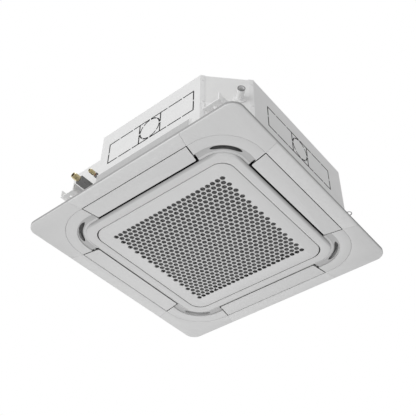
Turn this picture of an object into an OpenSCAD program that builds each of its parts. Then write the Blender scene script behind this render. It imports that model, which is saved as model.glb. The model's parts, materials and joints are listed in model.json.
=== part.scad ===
// Four-way ceiling cassette air conditioner with its square decoration panel.
// Millimetres, +Z up. The origin is the centre of the four suspension slots.
// Heights named _h are measured from the ceiling line, where the panel's rim rests.
// -X and -Y are the two sides seen in front, and the pipes leave at the -X, +Y corner.

/* [Panel] */
// Width of the square decoration panel
panel_w = 950; // [930:5:990]
// Radius of the panel's outer corners
panel_corner_r = 44; // [34:1:60]
// Depth of the panel's flat face below the ceiling line
panel_depth = 14; // [13:0.5:18]
// Wall of the panel mouldings
panel_skin = 3; // [2.5:0.1:3.2]
// Width of the soft edge between rim and flat face
edge_band = 14; // [8:1:20]
// Height of the panel's top deck above the ceiling line
deck_h = 18; // [18:0.5:20]
// Radius of the outer arc round each corner
ring_r = 160; // [150:1:170]
// Radius of the inner frame's outer corners
inner_corner_r = 81; // [70:1:82]
// Width of the recessed corner groove
groove_w = 37; // [30:1:40]
// Depth of the corner groove
groove_depth = 4.5; // [3:0.5:4.5]
// Distance of the dark corner slot from the inner frame
corner_slot_inset = 18; // [14:1:20]
// Width of the dark corner slot
corner_slot_w = 13; // [8:1:15]
// Half the angle that the dark corner slot spans
corner_slot_spread = 28; // [15:1:32]

/* [Louvres] */
// Distance from the centre to a louvre's outer edge
louvre_outer = 420; // [415:1:423]
// Width of a louvre
louvre_w = 68; // [60:1:70]
// Length of a louvre at its outer edge
louvre_len_outer = 476; // [460:1:480]
// Length of a louvre at its inner edge
louvre_len_inner = 452; // [440:1:455]
// Gap round a closed louvre
louvre_gap = 1.5; // [1:0.1:2]
// Open gap between a louvre and the inner frame
outlet_gap = 11; // [9:1:14]
// Radius of a louvre's pivot pins
pivot_r = 3; // [2.5:0.1:3.5]
// Distance of the pivot from the louvre's inner edge
pivot_inset = 20; // [16:1:24]
// Height of the pivot above the louvre's face
pivot_rise = 10; // [9:0.5:10.5]
// Radius of a louvre motor
louvre_motor_r = 10.5; // [8:0.5:10.5]
// Length of a louvre motor
louvre_motor_len = 19; // [14:1:22]

/* [Intake grille] */
// Width of the square grille
grille_w = 609; // [600:1:611]
// Radius of the grille's corners
grille_corner_r = 54; // [40:1:58]
// Thickness of the perforated plate
grille_skin = 2.5; // [2:0.1:2.8]
// Depth of the grille's face below the ceiling line
grille_depth = 20; // [19:0.5:22]
// Diameter of a hole
hole_d = 18; // [14:0.5:19]
// Distance between neighbouring holes
hole_pitch = 21.3; // [20.5:0.1:21.6]
// Number of columns of holes
hole_columns = 27; // [21:2:27]
// Number of holes in a long column
hole_rows = 24; // [18:1:24]
// Gap between the grille and the frame round it
grille_gap = 2.5; // [2:0.1:3]
// Distance of the hinge line from the grille's edge
hinge_inset = 26; // [24:0.5:28]
// Height of the hinge line above the grille's face
hinge_rise = 3.5; // [3.5:0.1:4]
// Radius of the hinge pins
hinge_pin_r = 1.2; // [1:0.1:1.4]
// Distance of each hinge from the middle
hinge_y = 180; // [120:5:220]
// Distance of each catch from the middle
latch_y = 160; // [120:5:200]
// Distance of the catch knobs from the centre
latch_x = 241; // [236:1:246]
// Thickness of the filter frame
filter_t = 6; // [4:0.5:7]
// Width of the square filter
filter_w = 524; // [500:2:530]

/* [Casing] */
// Width of the casing
casing_w = 848; // [840:1:850]
// Height of the casing's top edge above the ceiling line
casing_top_h = 310; // [300:2:330]
// Height of the casing's lower edge above the ceiling line
casing_low_h = 22; // [22:0.5:24]
// Thickness of the sheet metal
sheet = 1.2; // [0.8:0.1:1.2]
// Length that each common corner bevel takes off a side
bevel = 130; // [125:1:135]
// Length that the bevel between the near and right sides takes off
bevel_right = 145; // [140:1:150]
// Distance from the centre to the recessed wall of the pipe corner
notch_x = 351; // [346:1:356]
// Distance from the centre to the step of the pipe corner
notch_y = 174; // [170:1:180]
// Small bevel at the end of the recessed wall
notch_bevel = 14; // [8:1:20]
// Width of the folded strips beside the bevels
strip_w = 16; // [12:1:16]
// Length of the knock-out field
knockout_len = 399; // [380:1:410]
// Height of the knock-out field, and diameter of its round part
knockout_h = 100; // [90:1:110]
// Width of the knock-out slits
slit_w = 2; // [1.5:0.1:3]
// Height of the knock-outs' middle above the ceiling line
knockout_mid_h = 193; // [190:1:200]
// Thickness of the foam walls
liner_t = 22; // [16:1:22]

/* [Suspension] */
// Distance between suspension rods along X
rod_spacing_x = 792; // [790:1:800]
// Distance between suspension rods along Y
rod_spacing_y = 680; // [674:1:690]
// Height of the suspension slots above the ceiling line
hanger_h = 120; // [112:1:126]
// Width of a suspension slot
rod_slot_w = 11; // [9:0.5:11.5]
// Length of a suspension slot
rod_slot_len = 24; // [20:1:25]
// Sheet thickness of the hanger brackets
hanger_t = 3; // [2.5:0.5:4]
// Width of a hanger bracket
hanger_w = 68; // [60:1:68]
// Height of a hanger bracket's side plates
hanger_side_h = 33; // [25:1:40]

/* [Fan] */
// Outer radius of the turbo fan
fan_r = 215; // [200:1:220]
// Radius of the fan's intake
fan_eye_r = 163.5; // [163:0.5:168]
// Number of fan blades
fan_blades = 7; // [5:1:9]
// Thickness of a fan blade
blade_t = 4; // [2.5:0.5:6]
// Height of the fan's hub plate above the ceiling line
fan_top_h = 250; // [244:1:252]
// Radius of the motor shaft
shaft_r = 6; // [5:0.5:7]
// Radius of the fan motor
motor_r = 72; // [60:1:74]
// Throat radius of the bell mouth
throat_r = 160; // [155:1:160]

/* [Heat exchanger] */
// Distance from the centre to the coil's outer face
coil_outer = 302; // [300:1:306]
// Thickness of the coil
coil_t = 36; // [28:1:38]
// Outer radius of the coil's bends
coil_bend_r = 100; // [80:1:110]
// Distance from the centre to the coil's ends
coil_end = 172; // [160:1:176]

/* [Drain] */
// Height of the drain pan's rim above the ceiling line
pan_top_h = 84; // [80:1:90]
// Height of the trough's floor above the ceiling line
trough_h = 50; // [46:1:54]
// Outer radius of the drain outlet
drain_r = 13; // [11:0.5:14]
// Bore radius of the drain outlet
drain_bore_r = 10; // [8:0.5:10.5]
// Length of the drain outlet beyond the bevel
drain_len = 45; // [35:1:50]
// Height of the drain outlet above the ceiling line
drain_h = 200; // [190:1:206]
// Sideways place of the drain outlet on the near bevel
drain_offset = 42; // [40:1:46]

/* [Pipes] */
// Outer radius of the gas pipe
gas_r = 7.94; // [6.3:0.01:9.5]
// Outer radius of the liquid pipe
liquid_r = 4.76; // [3.2:0.01:6.3]
// Place of the gas pipe along Y
gas_y = 276; // [270:1:280]
// Place of the liquid pipe along Y
liquid_y = 211; // [205:1:216]
// Height of the pipes above the ceiling line
pipe_h = 150; // [146:1:154]
// Distance from the centre to the gas nut's end
gas_end = 458; // [450:1:465]
// Distance from the centre to the liquid nut's end
liquid_end = 438; // [430:1:445]

/* [Hidden] */

$fn = 48;
// Clearances: past a cut, running pin, moulded seat and soft seat
over = 1;
running = 0.05;
seat = 0.2;
slip = 0.3;
// Number of segments in a worked-out arc
arc_steps = 8;

// Panel: half sizes and heights
panel_half = panel_w / 2;
inner_half = louvre_outer - louvre_w - outlet_gap;
corner_centre = inner_half - inner_corner_r;
louvre_inner = louvre_outer - louvre_w;
wall_half = louvre_outer + louvre_gap;
face_h = -panel_depth;
skin_top_h = face_h + panel_skin;
slice_t = 0.1;
groove_r = inner_corner_r + groove_w;
groove_floor_t = 2.5;
groove_floor_h = face_h + groove_depth;
slot_in_r = inner_corner_r + corner_slot_inset;
slot_out_r = slot_in_r + corner_slot_w;
groove_start = louvre_len_inner / 2 + louvre_gap;
rib_t = 2;
rib_spacing = 70;
rib_count = 3;
// Corner covers
cover_t = 3;
cover_rim = 1;
cover_gap = 0.3;
cover_slant = 16;
cover_seam = louvre_len_outer / 2;
cover_top_h = face_h + cover_t;
pocket_t = 2.5;
pocket_edge_share = 0.5;
// Panel fixing screws, under the covers
fixing_xy = 385;
fixing_r = 3;
fixing_head_r = 6.5;
fixing_head_t = 2.5;
fixing_boss_r = 10;
fixing_seat_h = -4;
fixing_end_h = 28;
tab_len = 74;
tab_w = 40;
// Louvre pivots, bosses and motors
pivot_x = louvre_inner + pivot_inset;
pivot_h = face_h + pivot_rise;
// Half length of a louvre at its pivots
pivot_end = (louvre_len_inner + (louvre_len_outer - louvre_len_inner) * pivot_inset / louvre_w) / 2;
lug_inset = 8.5;
lug_y = pivot_end - lug_inset;
lug_t = 3;
lug_r = 5;
boss_gap = 1.6;
boss_y = pivot_end + louvre_gap + boss_gap;
boss_len = 8.4;
boss_half = 8;
boss_end = boss_y + boss_len;
motor_offset = 8;
motor_pin_depth = 6;
louvre_rib_h = 5;
louvre_rib_half = lug_y - lug_t;
louvre_rib_inset = 7;
// Outlets through deck, seal and pan
intake_seal_half = 330;
seal_w = 9;
seal_margin = 8;
outlet_in = intake_seal_half + seal_w + seal_margin;
outlet_out = 410;
outlet_half = 218;
outlet_short = 158;
// Inner frame
frame_depth = grille_depth;
lip_half = grille_w / 2 + grille_gap;
lip_ease = 4.5;
lip_r = grille_corner_r + grille_gap - lip_ease;
frame_lip_w = 4;
frame_wall_half = lip_half + frame_lip_w;
frame_wall_top_h = -3;
frame_bevel = 5;
// Grille hinge and ears
face_grille_h = -grille_depth;
grille_top_h = face_grille_h + grille_skin;
hinge_x = -(grille_w / 2 - hinge_inset);
hinge_h = face_grille_h + hinge_rise;
ear_wall = 1;
ear_r = hinge_pin_r + ear_wall;
ear_half = 4;
ear_arm_t = 3;
ear_arm_low_h = hinge_h + norm([hinge_inset, hinge_rise]) + over;
ear_arm_top_h = ear_arm_low_h + ear_arm_t;
ear_post_back = hinge_rise - grille_skin - slip;
grille_rim_h = -9;
grille_rim_t = 2;
grille_rib_h = 3;
hinge_notch = 16;
column_pitch = hole_pitch * sqrt(3) / 2;
// Catches
latch_half = 11;
latch_t = 2.2;
latch_tail = 10;
latch_overlap = 3;
latch_reach = lip_half + latch_overlap;
latch_travel = 6;
knob_len = 8;
knob_w = 8;
knob_drop = 1.5;
knob_slot_x = latch_x - latch_travel / 2;
knob_slot_len = knob_len + latch_travel + 2 * over;
knob_slot_w = knob_w + 2 * over;
hole_web = 1;
// Filter
filter_low_h = grille_top_h + grille_rib_h;
filter_rim = 14;
filter_mesh_t = 1;
filter_bars = 3;
// Casing
half = casing_w / 2;
bevel_shrink = 2 - sqrt(2);
bead_t = 2;
liner_top_t = 10;
top_plate_h = casing_top_h - bead_t;
top_under_h = top_plate_h - sheet;
bevels = [[-1, -1, bevel], [1, -1, bevel_right], [1, 1, bevel]];
strip_reach = 8;
corner_plate_reach = 20;
corner_plate_extra = 12;
bead_r = 140;
bead_w = 12;
bead_len = 230;
short_bead_share = 0.8;
skirt_out = 6;
skirt_top_h = 103;
skirt_start = -260;
knockout_left_y = -67;
knockout_near_x = -14;
bridge_w = 7;
bridge_spacing = 66;
screw_r = 1.9;
screw_head_r = 4;
screw_head_t = 1.8;
// Levels of the casing screws as shares of the casing's height
screw_level_shares = [0.13, 0.5, 0.9];
liner_top_h = top_under_h - liner_top_t;
motor_opening_r = 95;
// Suspension
hanger_reach = 423;
hanger_root = 300;
hanger_y = rod_spacing_y / 2 - hanger_w / 2;
hanger_back_h = 42;
// Panel hooks
hook_x = 256;
hook_half = 10;
hook_out = 36;
hook_h = 60;
hook_wire_r = 1.75;
// Pan, seal and bell mouth
bell_r = 245;
bell_flange_r = 264;
bell_skin = 2.5;
bell_flange_t = 3;
bell_hole_r = 251;
bell_low_h = casing_low_h - bell_flange_t;
bell_throat_h = 88;
bell_lip_h = 98;
trough_in = 262;
trough_in_r = 60;
trough_out = 330;
trough_out_r = 120;
plug_x = 300;
plug_r = 9;
plug_head_r = 12;
plug_head_t = 2.5;
well_h = 40;
// Fan and motor
shroud_low_h = 90;
blade_clear = 3;
blade_low_h = bell_lip_h + blade_clear;
shroud_rise = 22;
shroud_t = 2.5;
hub_t = 3;
cone_top_r = 110;
cone_low_r = 50;
cone_low_h = 190;
hub_boss_r = 22;
hub_boss_low_h = 178;
hub_boss_top_h = 205;
blade_in_r = 120;
blade_bow_r = 150;
blade_lean_share = 0.62;
nut_r = 10;
nut_t = 8;
washer_r = 14;
washer_t = 2;
shaft_end_h = 162;
shaft_top_h = 290;
motor_low_h = 226;
motor_top_h = 298;
motor_boss_r = 20;
motor_boss_h = 212;
motor_rim_w = 3;
motor_rim_r = motor_r + motor_rim_w;
motor_rim_h = 6;
bush_ring_r = 55;
bush_r = 9;
stud_r = 4;
bush_count = 3;
// Heat exchanger tubes
tube_r = 4;
bend_r = 12.5;
bend_first_h = 72;
bend_pitch = 50;
bend_count = 4;
header_r = 9;
header_x = 292;
manifold_r = 6;
manifold_x = 275;
header_low_h = 80;
header_top_h = 280;
feeder_pitch = 50;
feeder_rise = 10;
feeder_first_h = pipe_h + feeder_rise - feeder_pitch;
feeder_count = 4;
// Pipe connections
gas_union_r = 9.3;
gas_union_start = 429;
gas_union_end = 445;
gas_nut_r = 12.5;
gas_nut_start = 431;
gas_nut_hex_end = 451;
gas_collar_r = 10.5;
gas_port_r = 8.1;
liquid_union_r = 6.1;
liquid_union_start = 410;
liquid_union_end = 428;
liquid_nut_r = 8.5;
liquid_nut_start = 414;
liquid_nut_hex_end = 433;
liquid_collar_r = 7;
liquid_port_r = 4.9;
foam_w = 30;
foam_t = 22;
foam_end = 428;
liquid_foam_r = 9.5;
liquid_foam_end = 408;
pipe_hole_gap = 2;
window_margin = 22;
window_low_h = pipe_h - window_margin;
window_top_h = pipe_h + window_margin;
window_near = liquid_y - window_margin;
window_far = gas_y + foam_w / 2 + window_margin / 2;
// Drain pump and float switch
pump_back = 69;
pump_r = 28;
pump_low_h = 120;
pump_top_h = 215;
pump_column_r = 14;
pump_foot_r = 18;
pump_foot_t = 16;
nozzle_r = 12;
socket_start = 38;
socket_flange_r = 22;
socket_flange_t = 2.5;
well_r = 36;
float_well_r = 24;
arm_t = 3;
arm_half = 9;
stem_r = 3;
stem_stop_r = 7;
stem_stop_h = 50;
stem_stop_t = 2;
float_r = 14;
float_len = 18;
float_running = 0.08;
liner_in = 2 * sheet + liner_t;
// Control box
box_x = 150;
box_seal_gap = 24;
box_w = 74;
box_out_y = intake_seal_half - box_seal_gap;
box_in_y = box_out_y - box_w;
box_low_h = -5;
box_top_h = bell_low_h;
box_wall = 1.2;
board_h = 6;
board_t = 1.6;
board_margin_x = 12;
board_margin_y = 6;
board_len = 196;
board_left = -box_x + board_margin_x;
board_right = board_left + board_len;
board_near = box_in_y + board_margin_y;
board_far = box_out_y - board_margin_y;
chip_h = 5;
chip_count = 4;
standoff_r = 3;
standoff_inset = 6;
block_margin = 16;
block_len = 58;
block_w = 40;
block_right = box_x - block_margin;
block_left = block_right - block_len;
block_near = box_in_y + board_margin_x;
block_far = block_near + block_w;
block_low_h = 2;
block_ways = 4;
block_screw_r = 3.5;
// Cable gland
gland_y = -100;
gland_h = 200;
gland_r = 12;
gland_flange_r = 17;
gland_flange_t = 3;
gland_out = 14;
gland_bore_r = 7;
gland_neck_r = 10;
gland_in = 12;
gland_pocket_r = 16;

function bevel_half(length) = length / sqrt(2);

// Corner points of the casing's outline, moved inwards by an inset.
function casing_points(inset) =
  let (h = half - inset, c = bevel - inset * bevel_shrink, cr = bevel_right - inset * bevel_shrink,
       e = max(over, notch_bevel - inset * bevel_shrink), nx = -notch_x + inset, ny = notch_y - inset)
  [[-h, -h + c], [-h + c, -h], [h - cr, -h], [h, -h + cr], [h, h - c], [h - c, h],
   [nx + e, h], [nx, h - e], [nx, ny], [-h, ny]];

module at_ceiling() translate([0, 0, -hanger_h]) children();

module slab(low, top) translate([0, 0, low]) linear_extrude(top - low) children();

module rounded_square(h, r) {
  square([2 * h, 2 * (h - r)], center = true);
  square([2 * (h - r), 2 * h], center = true);
  for (sx = [-1, 1], sy = [-1, 1]) translate([sx * (h - r), sy * (h - r)]) circle(r);
}

module rounded_ring(h_out, r_out, h_in, r_in) difference() {
  rounded_square(h_out, r_out);
  rounded_square(h_in, r_in);
}

// A section swept round a square whose corner arcs are centred at the given distance
module swept_frame(centre) for (i = [0 : 3]) rotate(90 * i) {
  translate([centre, centre, 0]) rotate_extrude(angle = 90) children();
  translate([centre, centre, 0]) rotate([90, 0, 0]) linear_extrude(2 * centre) children();
}

module box(low, top) translate(low) cube(top - low);

module rod_x(x0, x1, r) translate([x0, 0, 0]) rotate([0, 90, 0]) cylinder(h = x1 - x0, r = r);

module rod_y(y0, y1, r) translate([0, y0, 0]) rotate([-90, 0, 0]) cylinder(h = y1 - y0, r = r);

module rod_z(z0, z1, r) translate([0, 0, z0]) cylinder(h = z1 - z0, r = r);

module casing_outline(inset) polygon(casing_points(inset));

module casing_ring(outer, inner) difference() {
  casing_outline(outer);
  casing_outline(inner);
}

// Frame of a bevel: +X outwards from its middle, +Y along it.
module at_bevel(b) translate([b[0] * (half - b[2] / 2), b[1] * (half - b[2] / 2), 0])
  rotate(atan2(b[1], b[0])) children();

// PANEL

// Quarter curve of the soft edge, from the rim to the flat face, moved inwards by an inset
function edge_curve(inset) =
  [for (k = [0 : arc_steps]) let (a = 90 * k / arc_steps)
    [panel_corner_r - inset - (edge_band - inset) * (1 - cos(a)), (face_h + inset) * sin(a)]];

// Outline of a louvre on the +X side, widened all round by grow.
module louvre_shape(start, grow) polygon([
  [start, -louvre_len_inner / 2 - grow],
  [louvre_inner, -louvre_len_inner / 2 - grow],
  [louvre_outer + min(grow, louvre_gap), -louvre_len_outer / 2 - grow],
  [louvre_outer + min(grow, louvre_gap), louvre_len_outer / 2 + grow],
  [louvre_inner, louvre_len_inner / 2 + grow],
  [start, louvre_len_inner / 2 + grow]]);

module louvre_openings(grow) for (i = [0 : 3]) rotate(90 * i) louvre_shape(inner_half + seat, grow);

module outlets() for (i = [0 : 3]) rotate(90 * i)
  translate([outlet_in, i == 2 ? -outlet_short : -outlet_half])
    square([outlet_out - outlet_in, outlet_half + (i == 2 ? outlet_short : outlet_half)]);

// Region of the cover at the +X, +Y corner.
module cover_shape(gap) difference() {
  intersection() {
    rounded_square(panel_half - cover_rim, panel_corner_r - cover_rim);
    polygon([[0, 0], [louvre_outer, cover_seam + gap], [panel_half, cover_seam + cover_slant + gap],
      [panel_half, panel_half], [cover_seam + cover_slant + gap, panel_half],
      [cover_seam + gap, louvre_outer]]);
  }
  rounded_square(louvre_outer + gap, ring_r + gap);
}

module corner_squares(start) for (sx = [-1, 1], sy = [-1, 1]) scale([sx, sy])
  translate([start, start]) square(panel_half);

module groove_shape() intersection() {
  rounded_ring(corner_centre + groove_r, groove_r, inner_half + seat, inner_corner_r + seat);
  corner_squares(groove_start);
}

module corner_slots() for (i = [0 : 3]) rotate(90 * i) translate([corner_centre, corner_centre])
  intersection() {
    difference() {
      circle(slot_out_r);
      circle(slot_in_r);
    }
    polygon([[0, 0],
      for (a = [-1 : 2 / arc_steps : 1]) 2 * ring_r * [cos(45 + a * corner_slot_spread),
                                                      sin(45 + a * corner_slot_spread)]]);
  }

module at_fixings() for (sx = [-1, 1], sy = [-1, 1]) translate([sx * fixing_xy, sy * fixing_xy, 0])
  children();

module panel_frame() color([0.77, 0.77, 0.77]) at_ceiling() {
  difference() {
    union() {
      swept_frame(panel_half - panel_corner_r) polygon(concat(edge_curve(0),
        [[panel_corner_r - edge_band - over, face_h], [panel_corner_r - edge_band - over, skin_top_h]],
        reversed(edge_curve(panel_skin))));
      slab(face_h, skin_top_h) rounded_square(panel_half - edge_band, panel_corner_r - edge_band);
      slab(face_h, deck_h) rounded_ring(wall_half + panel_skin, ring_r + louvre_gap + panel_skin,
                                        wall_half, ring_r + louvre_gap);
      slab(deck_h - panel_skin, deck_h) rounded_ring(wall_half + over, ring_r + louvre_gap + over,
                                                     intake_seal_half, inner_corner_r);
      slab(groove_floor_h - groove_floor_t / 2, groove_floor_h + groove_floor_t) intersection() {
        rounded_ring(corner_centre + groove_r + panel_skin, groove_r + panel_skin,
                     inner_half + seat, inner_corner_r + seat);
        corner_squares(groove_start);
      }
      slab(face_h, deck_h - panel_skin) difference() {
        louvre_openings(louvre_gap + panel_skin);
        louvre_openings(louvre_gap);
        rounded_square(inner_half + seat, inner_corner_r + seat);
      }
      slab(cover_top_h, cover_top_h + cover_gap + pocket_t) for (i = [0 : 3]) rotate(90 * i)
        intersection() {
          cover_shape(-panel_skin);
          rounded_square(panel_half - edge_band * pocket_edge_share,
                         panel_corner_r - edge_band * pocket_edge_share);
        }
      for (i = [0 : 3], k = [-rib_count : rib_count]) rotate(90 * i)
        box([wall_half + over, k * rib_spacing - rib_t / 2, face_h + over],
            [panel_half - 2 * over, k * rib_spacing + rib_t / 2, -over]);
      for (i = [0 : 3], s = [0, 1]) rotate(90 * i) mirror([0, s, 0])
        box([pivot_x - boss_half, boss_y, groove_floor_h],
            [pivot_x + boss_half, boss_end, pivot_h + boss_half]);
      at_fixings() rod_z(cover_top_h + cover_gap, deck_h, fixing_boss_r);
    }
    slab(face_h - over, groove_floor_h + groove_floor_t + over) {
      louvre_openings(louvre_gap);
      rounded_square(inner_half + seat, inner_corner_r + seat);
    }
    slab(face_h - over, groove_floor_h) groove_shape();
    slab(face_h - over, groove_floor_h + groove_floor_t + over) corner_slots();
    slab(face_h - over, cover_top_h + cover_gap) for (i = [0 : 3]) rotate(90 * i) cover_shape(-cover_gap);
    slab(deck_h - panel_skin - over, deck_h + over) outlets();
    for (i = [0 : 3], s = [0, 1]) rotate(90 * i) mirror([0, s, 0]) translate([pivot_x, 0, pivot_h])
      rod_y(lug_y, boss_end + over, pivot_r + running);
    at_fixings() {
      rod_z(face_h, deck_h + over, fixing_r + slip);
      rod_z(face_h, fixing_seat_h, fixing_head_r + 2 * slip);
    }
  }
}

module corner_cover(i) color([0.77, 0.77, 0.77]) at_ceiling() rotate(90 * i) intersection() {
  slab(face_h, cover_top_h + cover_gap) cover_shape(cover_gap);
  union() {
    swept_frame(panel_half - panel_corner_r) polygon(concat(edge_curve(0),
      [[panel_corner_r - edge_band - over, face_h], [panel_corner_r - edge_band - over, 0]]));
    slab(face_h, 0) rounded_square(panel_half - edge_band, panel_corner_r - edge_band);
  }
}

module inner_frame() color([0.79, 0.79, 0.79]) at_ceiling() {
  difference() {
    union() {
      swept_frame(corner_centre) polygon([
        [inner_corner_r, deck_h - panel_skin], [inner_corner_r, -frame_depth + frame_bevel],
        [inner_corner_r - frame_bevel, -frame_depth], [inner_corner_r - frame_bevel - panel_skin, -frame_depth],
        [inner_corner_r - frame_bevel - panel_skin, -frame_depth + grille_skin],
        [inner_corner_r - panel_skin, -frame_depth + frame_bevel + over],
        [inner_corner_r - panel_skin, deck_h - panel_skin]]);
      slab(-frame_depth, -frame_depth + grille_skin)
        rounded_ring(inner_half - frame_bevel - over, inner_corner_r - frame_bevel - over, lip_half, lip_r);
      slab(-frame_depth + over, frame_wall_top_h)
        rounded_ring(frame_wall_half + panel_skin, lip_r + panel_skin, frame_wall_half, lip_r);
      for (i = [0 : 3], k = [-rib_count : rib_count]) rotate(90 * i)
        box([frame_wall_half + over, k * rib_spacing - rib_t / 2, -frame_depth + over],
            [inner_half - over, k * rib_spacing + rib_t / 2, frame_wall_top_h]);
      for (s = [-1, 1]) translate([0, s * hinge_y, hinge_h]) {
        translate([hinge_x, 0, 0]) rod_y(-ear_half, ear_half, ear_r);
        box([hinge_x - ear_post_back, -ear_half, 0],
            [hinge_x + ear_r, ear_half, ear_arm_top_h - hinge_h]);
        box([-frame_wall_half - over, -ear_half, ear_arm_low_h - hinge_h],
            [hinge_x + ear_r, ear_half, ear_arm_top_h - hinge_h]);
        box([-frame_wall_half - panel_skin, -ear_half, grille_top_h - hinge_h],
            [-frame_wall_half, ear_half, ear_arm_top_h - hinge_h]);
      }
    }
    for (s = [-1, 1]) translate([hinge_x, s * hinge_y, hinge_h])
      rod_y(-ear_half - over, ear_half + over, hinge_pin_r + running);
  }
}

module louvre(i) color([0.78, 0.78, 0.78]) at_ceiling() rotate(90 * i) {
  slab(face_h, skin_top_h) louvre_shape(louvre_inner, 0);
  for (x = [louvre_inner + louvre_rib_inset, louvre_outer - louvre_rib_inset])
    box([x - rib_t / 2, -louvre_rib_half, skin_top_h - over],
        [x + rib_t / 2, louvre_rib_half, skin_top_h + louvre_rib_h]);
  for (s = [0, 1]) mirror([0, s, 0]) translate([pivot_x, 0, 0]) {
    box([-lug_r, lug_y, skin_top_h - over], [lug_r, lug_y + lug_t, pivot_h]);
    translate([0, 0, pivot_h]) rod_y(lug_y, lug_y + lug_t, lug_r);
    translate([0, 0, pivot_h])
      rod_y(lug_y + lug_t - over, boss_end + (s == 0 ? motor_pin_depth : -over), pivot_r);
  }
}

module louvre_motor(i) color([0.62, 0.64, 0.66]) at_ceiling() rotate(90 * i)
  translate([pivot_x, 0, pivot_h]) difference() {
    union() {
      translate([0, 0, motor_offset]) rod_y(boss_end, boss_end + louvre_motor_len, louvre_motor_r);
      box([-lug_r, boss_end, 0], [lug_r, boss_end + louvre_motor_len / 2, motor_offset]);
    }
    rod_y(boss_end - over, boss_end + motor_pin_depth + over, pivot_r + running);
  }

// GRILLE

// A hole is left out where it would run into the slot of a catch's knob.
function hole_is_clear(x, y) =
  norm([max(0, abs(x - knob_slot_x) - knob_slot_len / 2), max(0, abs(abs(y) - latch_y) - knob_slot_w / 2)])
  > hole_d / 2 + hole_web;

module grille_holes() for (c = [-(hole_columns - 1) / 2 : (hole_columns - 1) / 2])
  let (short = ((hole_columns - 1) / 2 - abs(c)) % 2, n = hole_rows - short)
    for (k = [0 : n - 1])
      let (x = c * column_pitch, y = (k - (n - 1) / 2) * hole_pitch)
        if (hole_is_clear(x, y)) translate([x, y]) circle(hole_d / 2);

module intake_grille() color([0.79, 0.79, 0.79]) at_ceiling() {
  difference() {
    slab(face_grille_h, grille_top_h) difference() {
      rounded_square(grille_w / 2, grille_corner_r);
      grille_holes();
      for (s = [-1, 1])
        translate([knob_slot_x, s * latch_y])
          square([knob_slot_len, knob_slot_w], center = true);
    }
    // Pockets that the frame's ears turn in
    for (s = [-1, 1]) translate([hinge_x, s * hinge_y, hinge_h])
      box([-ear_r - 2 * slip, -ear_half - slip, -ear_r - slip], [ear_r + 2 * slip, ear_half + slip, hinge_rise]);
  }
  difference() {
    slab(grille_top_h - slice_t, grille_rim_h)
      rounded_ring(grille_w / 2, grille_corner_r,
                   grille_w / 2 - grille_rim_t, grille_corner_r - grille_rim_t);
    for (s = [-1, 1]) {
      translate([-grille_w / 2, s * hinge_y, 0])
        box([-over, -hinge_notch, grille_top_h], [2 * grille_rim_t, hinge_notch, over]);
      translate([grille_w / 2, s * latch_y, 0])
        box([-2 * grille_rim_t, -latch_half - over, grille_top_h], [over, latch_half + over, over]);
    }
  }
  // Ribs that the filter rests on
  for (s = [-1, 1]) {
    translate([0, s * (filter_w / 2 - filter_rim / 2), 0])
      box([-filter_w / 2, -rib_t / 2, grille_top_h - slice_t], [filter_w / 2, rib_t / 2, filter_low_h]);
    for (t = [-1, 1]) translate([0, s * latch_y + t * (latch_half + slip + rib_t / 2), 0])
      box([latch_x + knob_len, -rib_t / 2, grille_top_h - slice_t],
          [filter_w / 2 + filter_rim, rib_t / 2, filter_low_h]);
  }
  // Hinge lugs and pins
  for (s = [-1, 1]) scale([1, s, 1]) translate([hinge_x, hinge_y, 0]) {
    box([-ear_r, ear_half + slip, grille_top_h - slice_t],
        [ear_r, 2 * ear_half + slip, hinge_h]);
    translate([0, 0, hinge_h]) rod_y(ear_half + slip, 2 * ear_half + slip, ear_r);
    translate([0, 0, hinge_h]) rod_y(-ear_half, ear_half + 2 * slip, hinge_pin_r);
  }
}

module grille_latch(s) color([0.35, 0.35, 0.36]) at_ceiling() translate([0, s * latch_y, 0]) {
  box([latch_x - latch_tail, -latch_half, grille_top_h + slip],
      [latch_reach, latch_half, grille_top_h + slip + latch_t]);
  translate([latch_x, 0, 0])
    box([-knob_len / 2, -knob_w / 2, face_grille_h - knob_drop],
        [knob_len / 2, knob_w / 2, grille_top_h + slip + over]);
}

module air_filter() color([0.30, 0.31, 0.32]) at_ceiling() {
  slab(filter_low_h, filter_low_h + filter_t) difference() {
    square(filter_w, center = true);
    for (i = [0 : filter_bars], k = [0 : filter_bars])
      let (cell = (filter_w - filter_rim) / (filter_bars + 1))
        translate([(i - filter_bars / 2) * cell, (k - filter_bars / 2) * cell])
          square(cell - filter_rim, center = true);
  }
  slab(filter_low_h + filter_t / 2, filter_low_h + filter_t / 2 + filter_mesh_t)
    square(filter_w - filter_rim, center = true);
}

module panel_screws() color([0.72, 0.72, 0.70]) at_ceiling() at_fixings() {
  difference() {
    rod_z(fixing_seat_h - fixing_head_t, fixing_seat_h, fixing_head_r);
    for (a = [0, 90]) rotate(a)
      box([-fixing_r, -over / 2, fixing_seat_h - fixing_head_t - over],
          [fixing_r, over / 2, fixing_seat_h - fixing_head_t + over]);
  }
  rod_z(fixing_seat_h - over, fixing_end_h, fixing_r);
}

module panel_seal() color([0.22, 0.22, 0.23]) at_ceiling() slab(deck_h, casing_low_h) {
  difference() {
    casing_ring(2 * sheet, 2 * sheet + seal_w);
    outlets();
  }
  rounded_ring(intake_seal_half + seal_w, inner_corner_r, intake_seal_half, inner_corner_r - seal_w);
}

// CASING

module side_sheet() difference() {
  casing_ring(0, sheet);
  children();
}

module strip_region(b, s) at_bevel(b)
  translate([0, s * (bevel_half(b[2]) - strip_w / 2)]) square([2 * strip_reach, strip_w], center = true);

module screw_places() for (b = bevels, s = [-1, 1], share = screw_level_shares) at_bevel(b)
  translate([0, s * (bevel_half(b[2]) - strip_w / 2), casing_low_h + share * (casing_top_h - casing_low_h)])
    children();

module screw_holes() screw_places() rod_x(-strip_reach, strip_reach, screw_r + slip / 2);

module slit_frame(w, h) difference() {
  square([w, h], center = true);
  square([w - 2 * slit_w, h - 2 * slit_w], center = true);
}

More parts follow.
